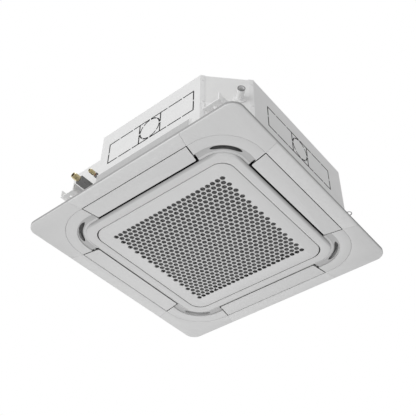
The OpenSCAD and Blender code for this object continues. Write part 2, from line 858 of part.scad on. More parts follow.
// Knock-outs: dashed slits round a long field, with a square and a round one in its middle.
module knockout_slits() difference() {
  union() {
    slit_frame(knockout_len, knockout_h);
    slit_frame(knockout_h, knockout_h);
    difference() {
      circle(knockout_h / 2 - 2 * slit_w);
      circle(knockout_h / 2 - 3 * slit_w);
    }
  }
  for (k = [-2 : 2]) translate([(k + sign(k) / 4) * bridge_spacing, 0])
    square([bridge_w, knockout_h + over], center = true);
  square([knockout_len + over, bridge_w], center = true);
  for (a = [45, 135]) rotate(a) square([knockout_h * sqrt(2), bridge_w], center = true);
}

module side_plate_left() color([0.87, 0.87, 0.87]) at_ceiling() {
  difference() {
    slab(casing_low_h, casing_top_h) intersection() {
      casing_ring(0, sheet);
      union() {
        translate([-half - over, -half + bevel]) square([strip_reach, half - bevel + notch_y - sheet]);
        strip_region(bevels[0], -1);
      }
    }
    translate([-half, knockout_left_y, knockout_mid_h]) rotate([90, 0, 90])
      linear_extrude(2 * strip_reach, center = true) knockout_slits();
    screw_holes();
  }
  // Raised lower band with a slanted end
  difference() {
    slab(casing_low_h, skirt_top_h) polygon([[-half, skirt_start], [-half - skirt_out, skirt_start + skirt_out],
      [-half - skirt_out, notch_y - sheet], [-half, notch_y - sheet]]);
    slab(casing_low_h - over, skirt_top_h - sheet) polygon([[-half, skirt_start + skirt_out],
      [-half - skirt_out + sheet, skirt_start + 2 * skirt_out],
      [-half - skirt_out + sheet, notch_y - 2 * sheet], [-half, notch_y - 2 * sheet]]);
  }
}

module side_plate_near() color([0.70, 0.70, 0.70]) at_ceiling() difference() {
  slab(casing_low_h, casing_top_h) intersection() {
    casing_ring(0, sheet);
    union() {
      translate([-half + bevel, -half - over]) square([casing_w - bevel - bevel_right, strip_reach]);
      strip_region(bevels[0], 1);
      strip_region(bevels[1], -1);
    }
  }
  translate([knockout_near_x, -half, knockout_mid_h]) rotate([90, 0, 0])
    linear_extrude(2 * strip_reach, center = true) knockout_slits();
  screw_holes();
  for (s = [-1, 1]) translate([hook_x + s * hook_half, 0, hook_h])
    rod_y(-half - over, -half + strip_reach, hook_wire_r + running);
}

module side_plate_right() color([0.80, 0.80, 0.80]) at_ceiling() difference() {
  slab(casing_low_h, casing_top_h) intersection() {
    casing_ring(0, sheet);
    union() {
      translate([half + over - strip_reach, -half + bevel_right])
        square([strip_reach, casing_w - bevel - bevel_right]);
      strip_region(bevels[1], 1);
      strip_region(bevels[2], -1);
    }
  }
  screw_holes();
  translate([0, gland_y, gland_h]) rod_x(half - strip_reach, half + over, gland_neck_r + seat);
}

module side_plate_far() color([0.80, 0.80, 0.80]) at_ceiling() difference() {
  slab(casing_low_h, casing_top_h) intersection() {
    casing_ring(0, sheet);
    union() {
      translate([-notch_x + notch_bevel, half + over - strip_reach])
        square([half + notch_x - bevel - notch_bevel, strip_reach]);
      strip_region(bevels[2], 1);
    }
  }
  screw_holes();
  for (s = [-1, 1]) translate([-hook_x + s * hook_half, 0, hook_h])
    rod_y(half - strip_reach, half + over, hook_wire_r + running);
}

module corner_plate(b) color([0.83, 0.83, 0.83]) at_ceiling() difference() {
  union() {
    slab(casing_low_h, top_under_h) intersection() {
      casing_ring(sheet, 2 * sheet);
      at_bevel(b) translate([-corner_plate_reach / 2 + over, 0])
        square([corner_plate_reach, 2 * (bevel_half(b[2]) + corner_plate_extra)], center = true);
    }
    // Tab that takes the panel's fixing screw
    slab(casing_low_h, casing_low_h + sheet) difference() {
      at_bevel(b) translate([-sheet, -tab_w / 2]) square([tab_len, tab_w]);
      casing_outline(sheet);
    }
  }
  screw_holes();
  at_bevel(bevels[0]) translate([0, drain_offset, drain_h]) rod_x(-strip_reach, strip_reach, drain_r + seat);
  at_fixings() rod_z(0, casing_top_h, fixing_r + slip);
}

module pipe_plate() color([0.83, 0.83, 0.83]) at_ceiling() difference() {
  union() {
    slab(casing_low_h, casing_top_h) intersection() {
      casing_ring(0, sheet);
      translate([-half - over, notch_y - sheet]) square([half + over - notch_x + notch_bevel, half]);
    }
    // Tab that takes the panel's fixing screw
    slab(casing_low_h, casing_low_h + sheet)
      translate([-notch_x - tab_len / 2 - tab_w / 2, fixing_xy - tab_w / 2])
        square([tab_len / 2 + tab_w / 2, tab_w]);
  }
  translate([0, gas_y, pipe_h]) rod_x(-half, -notch_x + strip_reach, gas_r + pipe_hole_gap);
  translate([0, liquid_y, pipe_h]) rod_x(-half, -notch_x + strip_reach, liquid_r + pipe_hole_gap);
  at_fixings() rod_z(0, casing_top_h, fixing_r + slip);
}

module casing_top() color([0.80, 0.80, 0.80]) at_ceiling() difference() {
  union() {
    slab(top_under_h, top_plate_h) casing_outline(sheet);
    slab(top_plate_h - slice_t, top_plate_h + bead_t) {
      difference() {
        circle(bead_r);
        circle(bead_r - bead_w);
      }
      for (a = [0 : 3]) rotate(45 + 90 * a) translate([bead_r + bead_w, -bead_w / 2])
        square([bead_len, bead_w]);
      for (a = [0 : 3]) rotate(90 * a) translate([bead_r + bead_w, -bead_w / 2])
        square([bead_len * short_bead_share, bead_w]);
    }
  }
  for (k = [1 : bush_count]) rotate(k * 360 / bush_count) translate([bush_ring_r, 0, 0])
    rod_z(top_under_h - over, casing_top_h + over, stud_r + seat);
}

module casing_screws() color([0.72, 0.72, 0.70]) at_ceiling() screw_places() difference() {
  union() {
    rod_x(-2 * sheet, over, screw_r);
    rod_x(0, screw_head_t, screw_head_r);
  }
  rotate([0, 90, 0]) translate([0, 0, screw_head_t - over / 2]) for (a = [0, 90]) rotate(a)
    translate([-screw_head_r / 2, -over / 4, 0]) cube([screw_head_r, over / 2, over]);
}

// How far inside the casing's outline a bracket's wall stands
function wall_inset(sx, sy) = sx < 0 && sy > 0 ? 0 : sheet;

// Part of a bracket seen from above, cut to the casing wall that it is fixed to
module bracket_band(sx, sy, y0, y1) difference() {
  scale([sx, sy]) translate([hanger_root, y0]) square([hanger_reach - hanger_root, y1 - y0]);
  casing_outline(wall_inset(sx, sy));
}

module hanger_bracket(sx, sy) color([0.75, 0.75, 0.75]) {
  difference() {
    slab(-hanger_t / 2, hanger_t / 2) bracket_band(sx, sy, hanger_y, hanger_y + hanger_w);
    for (s = [-1, 1]) translate([sx * rod_spacing_x / 2 + s * (rod_slot_len - rod_slot_w) / 2,
                                 sy * rod_spacing_y / 2, 0])
      rod_z(-hanger_t, hanger_t, rod_slot_w / 2);
    translate([sx * rod_spacing_x / 2, sy * rod_spacing_y / 2, 0])
      cube([rod_slot_len - rod_slot_w, rod_slot_w, 2 * hanger_t], center = true);
  }
  slab(-hanger_t / 2, hanger_side_h) {
    bracket_band(sx, sy, hanger_y, hanger_y + hanger_t);
    bracket_band(sx, sy, hanger_y + hanger_w - hanger_t, hanger_y + hanger_w);
  }
  slab(-hanger_t / 2, hanger_back_h) difference() {
    intersection() {
      casing_outline(wall_inset(sx, sy) - hanger_t);
      bracket_band(sx, sy, hanger_y, hanger_y + hanger_w);
    }
    casing_outline(wall_inset(sx, sy));
  }
}

// Loops that hold the panel while it is fitted
module panel_hooks() color([0.6, 0.6, 0.6]) at_ceiling() for (a = [0, 180]) rotate(a)
  translate([hook_x, -half, hook_h]) {
    for (s = [-1, 1]) translate([s * hook_half, 0, 0])
      rod_y(hook_half + hook_wire_r - hook_out, sheet, hook_wire_r);
    translate([0, hook_half + hook_wire_r - hook_out, 0]) rotate(180)
      rotate_extrude(angle = 180) translate([hook_half, 0]) circle(hook_wire_r);
  }

module foam_liner() color([0.93, 0.93, 0.92]) at_ceiling() difference() {
  union() {
    slab(pan_top_h, liner_top_h) casing_ring(2 * sheet, liner_in);
    slab(liner_top_h - slice_t, top_under_h) difference() {
      casing_outline(2 * sheet);
      circle(motor_opening_r);
    }
  }
  box([-half, window_near, window_low_h], [-notch_x + liner_in + over, window_far, window_top_h]);
  at_bevel(bevels[0]) translate([0, drain_offset, drain_h]) rod_x(-liner_in - over, over, drain_r + over);
  translate([0, gland_y, gland_h]) rod_x(half - gland_in - 2 * sheet, half, gland_pocket_r);
}

// PAN AND AIR PATH

module pump_places(x, y) at_bevel(bevels[0]) translate([x, y, 0]) children();

module drain_pan() color([0.90, 0.90, 0.90]) at_ceiling() difference() {
  slab(casing_low_h, pan_top_h) difference() {
    casing_outline(2 * sheet);
    circle(bell_hole_r);
    outlets();
  }
  slab(trough_h, pan_top_h + over) rounded_ring(trough_out, trough_out_r, trough_in, trough_in_r);
  pump_places(-pump_back, drain_offset) rod_z(well_h, pan_top_h + over, well_r);
  pump_places(-pump_back, -drain_offset) rod_z(well_h, pan_top_h + over, float_well_r);
  pump_places(-pump_back, 0)
    box([-stem_stop_r, -drain_offset, well_h], [stem_stop_r, drain_offset, pan_top_h + over]);
  rod_plug_hole();
}

module rod_plug_hole() translate([-plug_x, -plug_x, 0]) rod_z(casing_low_h - over, well_h + over, plug_r + running);

module pan_plug() color([0.15, 0.15, 0.15]) at_ceiling() translate([-plug_x, -plug_x, 0]) {
  rod_z(casing_low_h - plug_head_t, casing_low_h, plug_head_r);
  rod_z(casing_low_h - over, well_h, plug_r);
}

function bell_curve(r0, h0, reach, rise) =
  [for (k = [0 : arc_steps]) let (a = 90 * k / arc_steps) [r0 - reach * sin(a), h0 + rise * (1 - cos(a))]];

function reversed(points) = [for (k = [len(points) - 1 : -1 : 0]) points[k]];

module bell_mouth() color([0.20, 0.20, 0.21]) at_ceiling() rotate_extrude($fn = 96) polygon(concat(
  [[bell_flange_r, bell_low_h], [bell_flange_r, casing_low_h]],
  bell_curve(bell_r, casing_low_h, bell_r - throat_r, bell_throat_h - casing_low_h),
  [[throat_r, bell_lip_h], [throat_r - bell_skin, bell_lip_h]],
  reversed(bell_curve(bell_r, bell_low_h, bell_r - throat_r + bell_skin, bell_throat_h - bell_low_h))));

// Points of the shroud's lower face, from the eye to the rim
function shroud_curve(lift) =
  [for (k = [0 : arc_steps]) let (a = 90 * k / arc_steps)
    [fan_eye_r + (fan_r - fan_eye_r) * (1 - cos(a)), shroud_low_h + lift + shroud_rise * sin(a)]];

// One backward-leaning blade, bowed between the eye and the rim
module fan_blade() intersection() {
  translate([fan_r - blade_bow_r, -blade_bow_r * blade_lean_share]) difference() {
    circle(blade_bow_r, $fn = 96);
    circle(blade_bow_r - blade_t, $fn = 96);
  }
  difference() {
    circle(fan_r - over, $fn = 96);
    circle(blade_in_r);
  }
  translate([0, -fan_r]) square([fan_r, 2 * fan_r]);
}

module turbo_fan() color([0.85, 0.85, 0.83]) at_ceiling() {
  rotate_extrude($fn = 96) polygon(concat(shroud_curve(0), reversed(shroud_curve(shroud_t + over))));
  difference() {
    slab(shroud_low_h, fan_top_h + over) for (k = [1 : fan_blades]) rotate(k * 360 / fan_blades) fan_blade();
    rotate_extrude($fn = 96) polygon(concat(shroud_curve(shroud_t),
      [[fan_r + over, shroud_low_h + shroud_t + shroud_rise], [fan_r + over, 0], [blade_in_r - over, 0],
       [blade_in_r - over, blade_low_h], [fan_eye_r, blade_low_h]]));
  }
  rotate_extrude($fn = 96) polygon([[shaft_r, hub_boss_low_h], [hub_boss_r, hub_boss_low_h],
    [hub_boss_r, cone_low_h], [cone_low_r, cone_low_h], [cone_top_r, fan_top_h], [fan_r, fan_top_h],
    [fan_r, fan_top_h + hub_t], [cone_top_r - over, fan_top_h + hub_t], [cone_low_r - over, cone_low_h + hub_t],
    [hub_boss_r, cone_low_h + hub_t], [hub_boss_r, hub_boss_top_h], [shaft_r, hub_boss_top_h]]);
}

module motor_shaft() color([0.75, 0.75, 0.77]) at_ceiling() {
  rod_z(hub_boss_low_h, shaft_top_h, shaft_r);
  rod_z(shaft_end_h, hub_boss_low_h + over, shaft_r - over);
}

module fan_nut() color([0.78, 0.74, 0.55]) at_ceiling() difference() {
  union() {
    rod_z(hub_boss_low_h - washer_t, hub_boss_low_h, washer_r);
    translate([0, 0, hub_boss_low_h - washer_t - nut_t]) cylinder(h = nut_t + over, r = nut_r, $fn = 6);
  }
  rod_z(shaft_end_h, hub_boss_low_h + over, shaft_r - over + running);
}

module fan_motor() color([0.55, 0.56, 0.58]) at_ceiling() difference() {
  union() {
    rod_z(motor_low_h, motor_top_h, motor_r);
    rod_z(motor_boss_h, motor_low_h + over, motor_boss_r);
    rod_z((motor_low_h + motor_top_h - motor_rim_h) / 2, (motor_low_h + motor_top_h + motor_rim_h) / 2,
          motor_rim_r);
  }
  rod_z(motor_boss_h - over, shaft_top_h + over, shaft_r + running);
}

module motor_bushes() color([0.12, 0.12, 0.12]) at_ceiling()
  for (k = [1 : bush_count]) rotate(k * 360 / bush_count) translate([bush_ring_r, 0, 0]) {
    rod_z(motor_top_h, top_under_h, bush_r);
    rod_z(top_under_h - over, casing_top_h - slice_t, stud_r);
  }

// HEAT EXCHANGER AND PIPES

module coil_fins() color([0.78, 0.80, 0.82]) at_ceiling() slab(trough_h, liner_top_h - seat) difference() {
  rounded_ring(coil_outer, coil_bend_r, coil_outer - coil_t, coil_bend_r - coil_t);
  translate([-coil_outer - over, coil_end]) square([coil_outer + over - coil_end, coil_outer]);
}

module coil_tubes() color([0.72, 0.45, 0.30]) at_ceiling() {
  translate([-coil_outer + coil_t / 2, coil_end, 0])
    for (k = [0 : bend_count - 1]) translate([0, 0, bend_first_h + k * bend_pitch])
      rotate([0, -90, 0]) rotate_extrude(angle = 180) translate([bend_r, 0]) circle(tube_r);
  translate([-coil_end, coil_outer - coil_t / 2, 0]) rotate(90)
    for (k = [0 : bend_count - 1]) translate([0, 0, bend_first_h + k * bend_pitch])
      rotate([0, -90, 0]) rotate_extrude(angle = 180) translate([bend_r, 0]) circle(tube_r);
  difference() {
    union() {
      translate([-header_x, gas_y, 0]) rod_z(header_low_h, header_top_h, header_r);
      for (k = [0 : feeder_count - 1])
        translate([-header_x, 0, feeder_first_h + k * feeder_pitch]) rod_y(coil_end, gas_y, tube_r);
    }
    translate([0, gas_y, pipe_h]) rod_x(-half, -header_x, gas_r + running);
  }
  difference() {
    union() {
      translate([-manifold_x, liquid_y, 0]) rod_z(header_low_h, header_top_h, manifold_r);
      for (k = [0 : feeder_count - 1])
        translate([-manifold_x, 0, feeder_first_h + k * feeder_pitch]) rod_y(coil_end, liquid_y, tube_r);
    }
    translate([0, liquid_y, pipe_h]) rod_x(-half, -manifold_x, liquid_r + running);
  }
}

module gas_pipe() color([0.76, 0.50, 0.34]) at_ceiling() translate([0, gas_y, pipe_h]) difference() {
  union() {
    rod_x(-gas_union_end, -header_x, gas_r);
    rod_x(-gas_union_end, -gas_union_start, gas_union_r);
  }
  rod_x(-gas_union_end - over, -header_x - over, gas_r - over);
}

module gas_flare_nut() color([0.80, 0.68, 0.36]) at_ceiling() translate([0, gas_y, pipe_h]) difference() {
  union() {
    translate([-gas_nut_hex_end, 0, 0]) rotate([0, 90, 0])
      cylinder(h = gas_nut_hex_end - gas_nut_start, r = gas_nut_r, $fn = 6);
    rod_x(-gas_end, -gas_nut_hex_end + over, gas_collar_r);
  }
  rod_x(-gas_union_end - over, -gas_nut_start + over, gas_union_r + running);
  rod_x(-gas_end - over, -gas_union_end, gas_port_r);
}

module liquid_pipe() color([0.76, 0.50, 0.34]) at_ceiling() translate([0, liquid_y, pipe_h]) difference() {
  union() {
    rod_x(-liquid_union_end, -manifold_x, liquid_r);
    rod_x(-liquid_union_end, -liquid_union_start, liquid_union_r);
  }
  rod_x(-liquid_union_end - over, -manifold_x - over, liquid_r - over);
}

module liquid_flare_nut() color([0.80, 0.68, 0.36]) at_ceiling()
  translate([0, liquid_y, pipe_h]) difference() {
    union() {
      translate([-liquid_nut_hex_end, 0, 0]) rotate([0, 90, 0])
        cylinder(h = liquid_nut_hex_end - liquid_nut_start, r = liquid_nut_r, $fn = 6);
      rod_x(-liquid_end, -liquid_nut_hex_end + over, liquid_collar_r);
    }
    rod_x(-liquid_union_end - over, -liquid_nut_start + over, liquid_union_r + running);
    rod_x(-liquid_end - over, -liquid_union_end, liquid_port_r);
  }

module pipe_foam() color([0.25, 0.25, 0.26]) at_ceiling() {
  translate([0, gas_y, pipe_h]) difference() {
    box([-foam_end, -foam_w / 2, -foam_t / 2], [-notch_x, foam_w / 2, foam_t / 2]);
    rod_x(-half - strip_reach, -notch_x + over, gas_r + running);
  }
  translate([0, liquid_y, pipe_h]) difference() {
    rod_x(-liquid_foam_end, -notch_x, liquid_foam_r);
    rod_x(-half, -notch_x + over, liquid_r + running);
  }
}

// DRAIN

module drain_pump() color([0.88, 0.88, 0.86]) at_ceiling() pump_places(-pump_back, drain_offset) {
  difference() {
    union() {
      rod_z(pump_low_h, pump_top_h, pump_r);
      rod_z(well_h, pump_low_h + over, pump_column_r);
      rod_z(well_h, well_h + pump_foot_t, pump_foot_r);
      translate([0, 0, drain_h]) rod_x(0, pump_back - socket_start, nozzle_r);
      box([-arm_half, -2 * drain_offset - arm_half, pump_low_h - arm_t],
          [pump_back - liner_in, arm_half, pump_low_h]);
    }
    translate([0, 0, drain_h]) rod_x(pump_r, pump_back, drain_bore_r);
    translate([0, -2 * drain_offset, 0]) rod_z(well_h, pump_top_h, stem_r + running);
  }
}

module float_switch() color([0.80, 0.80, 0.80]) at_ceiling() pump_places(-pump_back, -drain_offset) {
  rod_z(stem_stop_h, pump_low_h, stem_r);
  rod_z(stem_stop_h - stem_stop_t, stem_stop_h, stem_stop_r);
  rod_z(pump_low_h, pump_low_h + pump_foot_t, stem_stop_r);
}

module float_ball() color([0.95, 0.95, 0.92]) at_ceiling() pump_places(-pump_back, -drain_offset)
  difference() {
    rod_z(stem_stop_h, stem_stop_h + float_len, float_r);
    rod_z(stem_stop_h - over, stem_stop_h + float_len + over, stem_r + float_running);
  }

module drain_socket() color([0.93, 0.93, 0.92]) at_ceiling()
  at_bevel(bevels[0]) translate([0, drain_offset, drain_h]) difference() {
    union() {
      rod_x(-socket_start, drain_len, drain_r);
      rod_x(-sheet, socket_flange_t, socket_flange_r);
    }
    rod_x(-socket_start - over, drain_len + over, drain_bore_r);
  }

// CONTROLS

module control_box() color([0.78, 0.79, 0.80]) at_ceiling() difference() {
  box([-box_x, box_in_y, box_low_h], [box_x, box_out_y, box_top_h]);
  box([-box_x + box_wall, box_in_y + box_wall, box_low_h - over],
      [box_x - box_wall, box_out_y - box_wall, box_top_h - box_wall]);
}

module control_box_cover() color([0.80, 0.81, 0.82]) at_ceiling()
  box([-box_x, box_in_y, box_low_h - box_wall], [box_x, box_out_y, box_low_h]);

module circuit_board() color([0.10, 0.35, 0.18]) at_ceiling() {
  box([board_left, board_near, board_h], [board_right, board_far, board_h + board_t]);
  for (x = [board_left + standoff_inset, board_right - standoff_inset],
       y = [board_near + standoff_inset, board_far - standoff_inset])
    translate([x, y, 0]) rod_z(board_h, box_top_h - box_wall, standoff_r);
  for (k = [1 : chip_count]) let (x = board_left + k * (board_right - board_left) / (chip_count + 1))
    translate([x, (board_near + board_far) / 2, board_h - chip_h / 2 + slice_t])
      cube([(chip_count - k / chip_count) * chip_h, (chip_count + 1 / k) * chip_h, chip_h], center = true);
}

module terminal_block() color([0.93, 0.92, 0.86]) at_ceiling() difference() {
  box([block_left, block_near, block_low_h], [block_right, block_far, box_top_h - box_wall]);
  for (k = [0 : block_ways - 1])
    translate([block_left + (k + 0.5) * (block_right - block_left) / block_ways, (block_near + block_far) / 2, 0])
      rod_z(block_low_h - over, block_low_h + block_screw_r, block_screw_r);
}

module cable_gland() color([0.15, 0.15, 0.16]) at_ceiling() translate([0, gland_y, gland_h]) difference() {
  union() {
    rod_x(half, half + gland_flange_t, gland_flange_r);
    rod_x(half, half + gland_out, gland_r);
    rod_x(half - gland_in, half + over, gland_neck_r);
  }
  rod_x(half - gland_in - over, half + gland_out + over, gland_bore_r);
}

panel_frame();
corner_cover(0);  // corner_cover_1
corner_cover(1);  // corner_cover_2
corner_cover(2);  // corner_cover_3
corner_cover(3);  // corner_cover_4
inner_frame();
louvre(0);  // louvre_1
louvre(1);  // louvre_2
louvre(2);  // louvre_3
louvre(3);  // louvre_4
louvre_motor(0);  // louvre_motor_1
louvre_motor(1);  // louvre_motor_2
louvre_motor(2);  // louvre_motor_3
louvre_motor(3);  // louvre_motor_4
intake_grille();
grille_latch(1);  // grille_latch_1
grille_latch(-1);  // grille_latch_2
air_filter();
panel_screws();
panel_seal();
side_plate_left();
side_plate_near();
side_plate_right();
side_plate_far();
corner_plate(bevels[0]);  // corner_plate_near
corner_plate(bevels[1]);  // corner_plate_right
corner_plate(bevels[2]);  // corner_plate_far
pipe_plate();
casing_top();
hanger_bracket(1, 1);  // hanger_bracket_1
hanger_bracket(-1, 1);  // hanger_bracket_2
hanger_bracket(-1, -1);  // hanger_bracket_3
hanger_bracket(1, -1);  // hanger_bracket_4
casing_screws();
panel_hooks();
foam_liner();
drain_pan();
pan_plug();
bell_mouth();
turbo_fan();
motor_shaft();
fan_nut();
fan_motor();
motor_bushes();
coil_fins();
coil_tubes();
gas_pipe();
gas_flare_nut();
liquid_pipe();
liquid_flare_nut();
pipe_foam();
drain_pump();
float_switch();
float_ball();
drain_socket();
control_box();
control_box_cover();
circuit_board();
terminal_block();
cable_gland();
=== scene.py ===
"""Ceiling cassette air conditioner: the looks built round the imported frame."""

import json
import logging
from collections.abc import Callable, Sequence
from dataclasses import dataclass, field, replace
from enum import Enum
from functools import cached_property
from math import cos, hypot, pi, radians, sin, sqrt

import bmesh
import bpy
from mathutils import Matrix, Vector


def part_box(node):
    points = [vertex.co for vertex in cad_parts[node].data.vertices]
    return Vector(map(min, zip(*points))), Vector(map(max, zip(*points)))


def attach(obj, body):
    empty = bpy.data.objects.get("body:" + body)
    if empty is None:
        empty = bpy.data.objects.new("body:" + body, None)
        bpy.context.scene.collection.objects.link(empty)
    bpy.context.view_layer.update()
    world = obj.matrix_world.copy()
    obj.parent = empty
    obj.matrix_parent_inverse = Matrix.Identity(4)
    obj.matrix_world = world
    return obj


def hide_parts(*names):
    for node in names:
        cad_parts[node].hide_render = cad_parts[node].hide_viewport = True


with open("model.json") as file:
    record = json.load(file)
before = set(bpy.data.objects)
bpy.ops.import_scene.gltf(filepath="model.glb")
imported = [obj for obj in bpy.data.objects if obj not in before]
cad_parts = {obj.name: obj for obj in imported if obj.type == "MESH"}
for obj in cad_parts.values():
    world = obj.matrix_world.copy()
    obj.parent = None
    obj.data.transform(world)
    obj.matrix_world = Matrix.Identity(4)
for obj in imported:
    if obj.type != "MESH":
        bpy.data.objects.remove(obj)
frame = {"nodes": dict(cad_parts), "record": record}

log = logging.getLogger("cassette")

MM = 0.001
CEILING_H = -0.120
QUARTER = pi / 2

Tree = bpy.types.NodeTree
Node = bpy.types.Node
Socket = bpy.types.NodeSocket
Material = bpy.types.Material
Mesh = bpy.types.Mesh
Object = bpy.types.Object

Point2 = tuple[float, float]
Point3 = tuple[float, float, float]
Value = Socket | float | tuple


class Side(Enum):
    """The four sides of the unit, as quarter turns from the +X side."""

    RIGHT = 0
    FAR = 1
    LEFT = 2
    NEAR = 3

    def turn(self) -> Matrix:
        """Return the rotation that carries the +X side to this side."""
        return Matrix.Rotation(self.value * QUARTER, 4, "Z")


# SHADING


# Slots of the Mix node that its colour form uses.
MIX_FACTOR, MIX_LOW, MIX_HIGH, MIX_RESULT = 0, 6, 7, 2

# What the shared masks turn on.
FLAT_POINTINESS = 0.52
EDGE_CONTRAST = 14.0
GAP_LEVEL = 0.3
DUST_COLOUR = (0.55, 0.53, 0.50)

# How far a surface may be smoother or rougher than its tone says.
SMOOTHER, ROUGHER, SMOOTHEST = 0.05, 0.07, 0.05


class Graph:
    """A node tree with short ways to add nodes to it."""

    def __init__(self, tree: Tree) -> None:
        """Take the tree that the nodes go to."""
        self.tree = tree

    def add(self, kind: str, inputs: dict[str | int, Value] | None = None, **settings: object) -> Node:
        """Add a node.

        Args:
            kind: Its type.
            inputs: The socket or value for each input's name or number.
            settings: Its other settings, which come first.

        Returns:
            The node.
        """
        node = self.tree.nodes.new(kind)
        for name, value in settings.items():
            setattr(node, name, value)
        for key, value in (inputs or {}).items():
            if isinstance(value, Socket):
                self.tree.links.new(value, node.inputs[key])
            else:
                node.inputs[key].default_value = value
        return node

    def math(self, kind: str, a: Value, b: Value = 0.0) -> Socket:
        """Return the output of a Math node."""
        return self.add("ShaderNodeMath", {0: a, 1: b}, operation=kind).outputs[0]

    def noise(self, scale: Value, stretch: Point3 = (1.0, 1.0, 1.0), detail: float = 3.0) -> Socket:
        """Add a noise texture on object coordinates.

        Args:
            scale: Waves a metre.
            stretch: Scale of each axis.
            detail: The noise's detail.

        Returns:
            The noise's value.
        """
        place = self.add("ShaderNodeTexCoord")
        mapping = self.add("ShaderNodeMapping", {"Vector": place.outputs["Object"], "Scale": stretch})
        inputs = {"Vector": mapping.outputs["Vector"], "Scale": scale, "Detail": detail}
        return self.add("ShaderNodeTexNoise", inputs).outputs["Fac"]

    def axes(self) -> bpy.types.bpy_prop_collection:
        """Return the object's coordinates as the sockets X, Y and Z."""
        place = self.add("ShaderNodeTexCoord")
        return self.add("ShaderNodeSeparateXYZ", {0: place.outputs["Object"]}).outputs

    def mix(self, a: Socket | Point3, b: Socket | Point3, factor: Socket) -> Socket:
        """Mix two colours.

        Args:
            a: The colour at factor zero.
            b: The colour at factor one.
            factor: The mask.

        Returns:
            The mixed colour.
        """
        low, high = (value if isinstance(value, Socket) else (*value, 1.0) for value in (a, b))
        inputs = {MIX_FACTOR: factor, MIX_LOW: low, MIX_HIGH: high}
        return self.add("ShaderNodeMix", inputs, data_type="RGBA").outputs[MIX_RESULT]


class ShaderKit:
    """Node groups that several materials share, each built once."""

    def _open(self, name: str, inputs: dict[str, float]) -> tuple[Graph, bpy.types.bpy_prop_collection]:
        """Make a group with its inputs.

        Args:
            name: The group's name.
            inputs: Each input's name and default.

        Returns:
            The group's graph and the sockets of its inputs.
        """
        tree = bpy.data.node_groups.new(name, "ShaderNodeTree")
        for key, value in inputs.items():
            socket = tree.interface.new_socket(name=key, in_out="INPUT", socket_type="NodeSocketFloat")
            socket.default_value = value
        graph = Graph(tree)
        return graph, graph.add("NodeGroupInput").outputs

    def _close(self, graph: Graph, **outputs: Socket) -> Tree:
        """Give a group its outputs.

        Args:
            graph: The group's graph.
            outputs: The socket behind each output.

        Returns:
            The finished group.
        """
        for key in outputs:
            graph.tree.interface.new_socket(name=key, in_out="OUTPUT", socket_type="NodeSocketFloat")
        graph.add("NodeGroupOutput", outputs)
        return graph.tree

    @cached_property
    def grain(self) -> Tree:
        """Build the fine skin of moulded plastic or paint.

        Returns:
            A group that gives a height and a slow change of shade.
        """
        graph, inputs = self._open("surface_grain", {"Scale": 900.0, "Depth": 1.0})
        height = graph.math("MULTIPLY", graph.noise(inputs["Scale"], detail=2.0), inputs["Depth"])
        return self._close(graph, Height=height, Drift=graph.noise(3.0, detail=2.0))

    @cached_property
    def wear(self) -> Tree:
        """Build a mask that is high along convex edges, broken up by noise.

        Returns:
            A group that gives the mask.
        """
        graph, inputs = self._open("edge_wear", {"Amount": 0.5, "Scale": 60.0})
        shape = graph.add("ShaderNodeNewGeometry")
        sharp = graph.math("SUBTRACT", shape.outputs["Pointiness"], FLAT_POINTINESS)
        sharp = graph.math("MULTIPLY", sharp, EDGE_CONTRAST)
        mask = graph.math("MULTIPLY", sharp, graph.noise(inputs["Scale"]))
        mask = graph.math("MULTIPLY", mask, inputs["Amount"])
        return self._close(graph, Mask=graph.add("ShaderNodeClamp", {"Value": mask}).outputs[0])

    @cached_property
    def dust(self) -> Tree:
        """Build a mask of settled dust on faces that look up.

        Returns:
            A group that gives the mask.
        """
        graph, inputs = self._open("settled_dust", {"Amount": 0.3, "Scale": 9.0})
        shape = graph.add("ShaderNodeNewGeometry")
        split = graph.add("ShaderNodeSeparateXYZ", {0: shape.outputs["Normal"]})
        up = graph.math("MAXIMUM", split.outputs["Z"], 0.0)
        mask = graph.math("MULTIPLY", up, graph.noise(inputs["Scale"], detail=6.0))
        return self._close(graph, Mask=graph.math("MULTIPLY", mask, inputs["Amount"]))

    @cached_property
    def brush(self) -> Tree:
        """Build the rolling marks of sheet metal.

        Returns:
            A group that gives the height of stretched streaks and a broad cloud.
        """
        graph, inputs = self._open("rolled_streaks", {"Scale": 40.0, "Depth": 1.0})
        streak = graph.noise(inputs["Scale"], stretch=(1.0, 1.0, 12.0), detail=4.0)
        height = graph.math("MULTIPLY", streak, inputs["Depth"])
        return self._close(graph, Height=height, Cloud=graph.noise(14.0, detail=5.0))

    @cached_property
    def fade(self) -> Tree:
        """Build a mask of painted shade that rises with the distance out along X or Y, whichever is larger.

        Returns:
            A group that gives the mask.
        """
        graph, inputs = self._open("outward_painted_shade", {"Start": 0.3, "Stop": 0.35, "Amount": 0.5})
        axes = graph.axes()
        out = graph.math("MAXIMUM", *(graph.math("ABSOLUTE", axes[axis]) for axis in ("X", "Y")))
        spread = graph.add("ShaderNodeMapRange", {"Value": out, "From Min": inputs["Start"],
                                                  "From Max": inputs["Stop"]})
        return self._close(graph, Mask=graph.math("MULTIPLY", spread.outputs["Result"], inputs["Amount"]))

    @cached_property
    def weave(self) -> Tree:
        """Build the square mesh of a filter net.

        Returns:
            A group that gives a height and a mask of the open gaps.
        """
        graph, inputs = self._open("net_weave", {"Pitch": 0.0016})
        axes = graph.axes()
        turns = graph.math("DIVIDE", 2 * pi, inputs["Pitch"])
        waves = [graph.math("COSINE", graph.math("MULTIPLY", axes[axis], turns)) for axis in ("X", "Y")]
        height = graph.math("MAXIMUM", *waves)
        return self._close(graph, Height=height, Gap=graph.math("LESS_THAN", height, GAP_LEVEL))


def grey(level: float) -> Point3:
    """Return a neutral colour."""
    return level, level, level


@dataclass(frozen=True)
class Tone:
    """A base colour with the values that the shader sets directly."""

    colour: Point3
    roughness: float = 0.5
    metallic: float = 0.0
    specular: float = 0.5


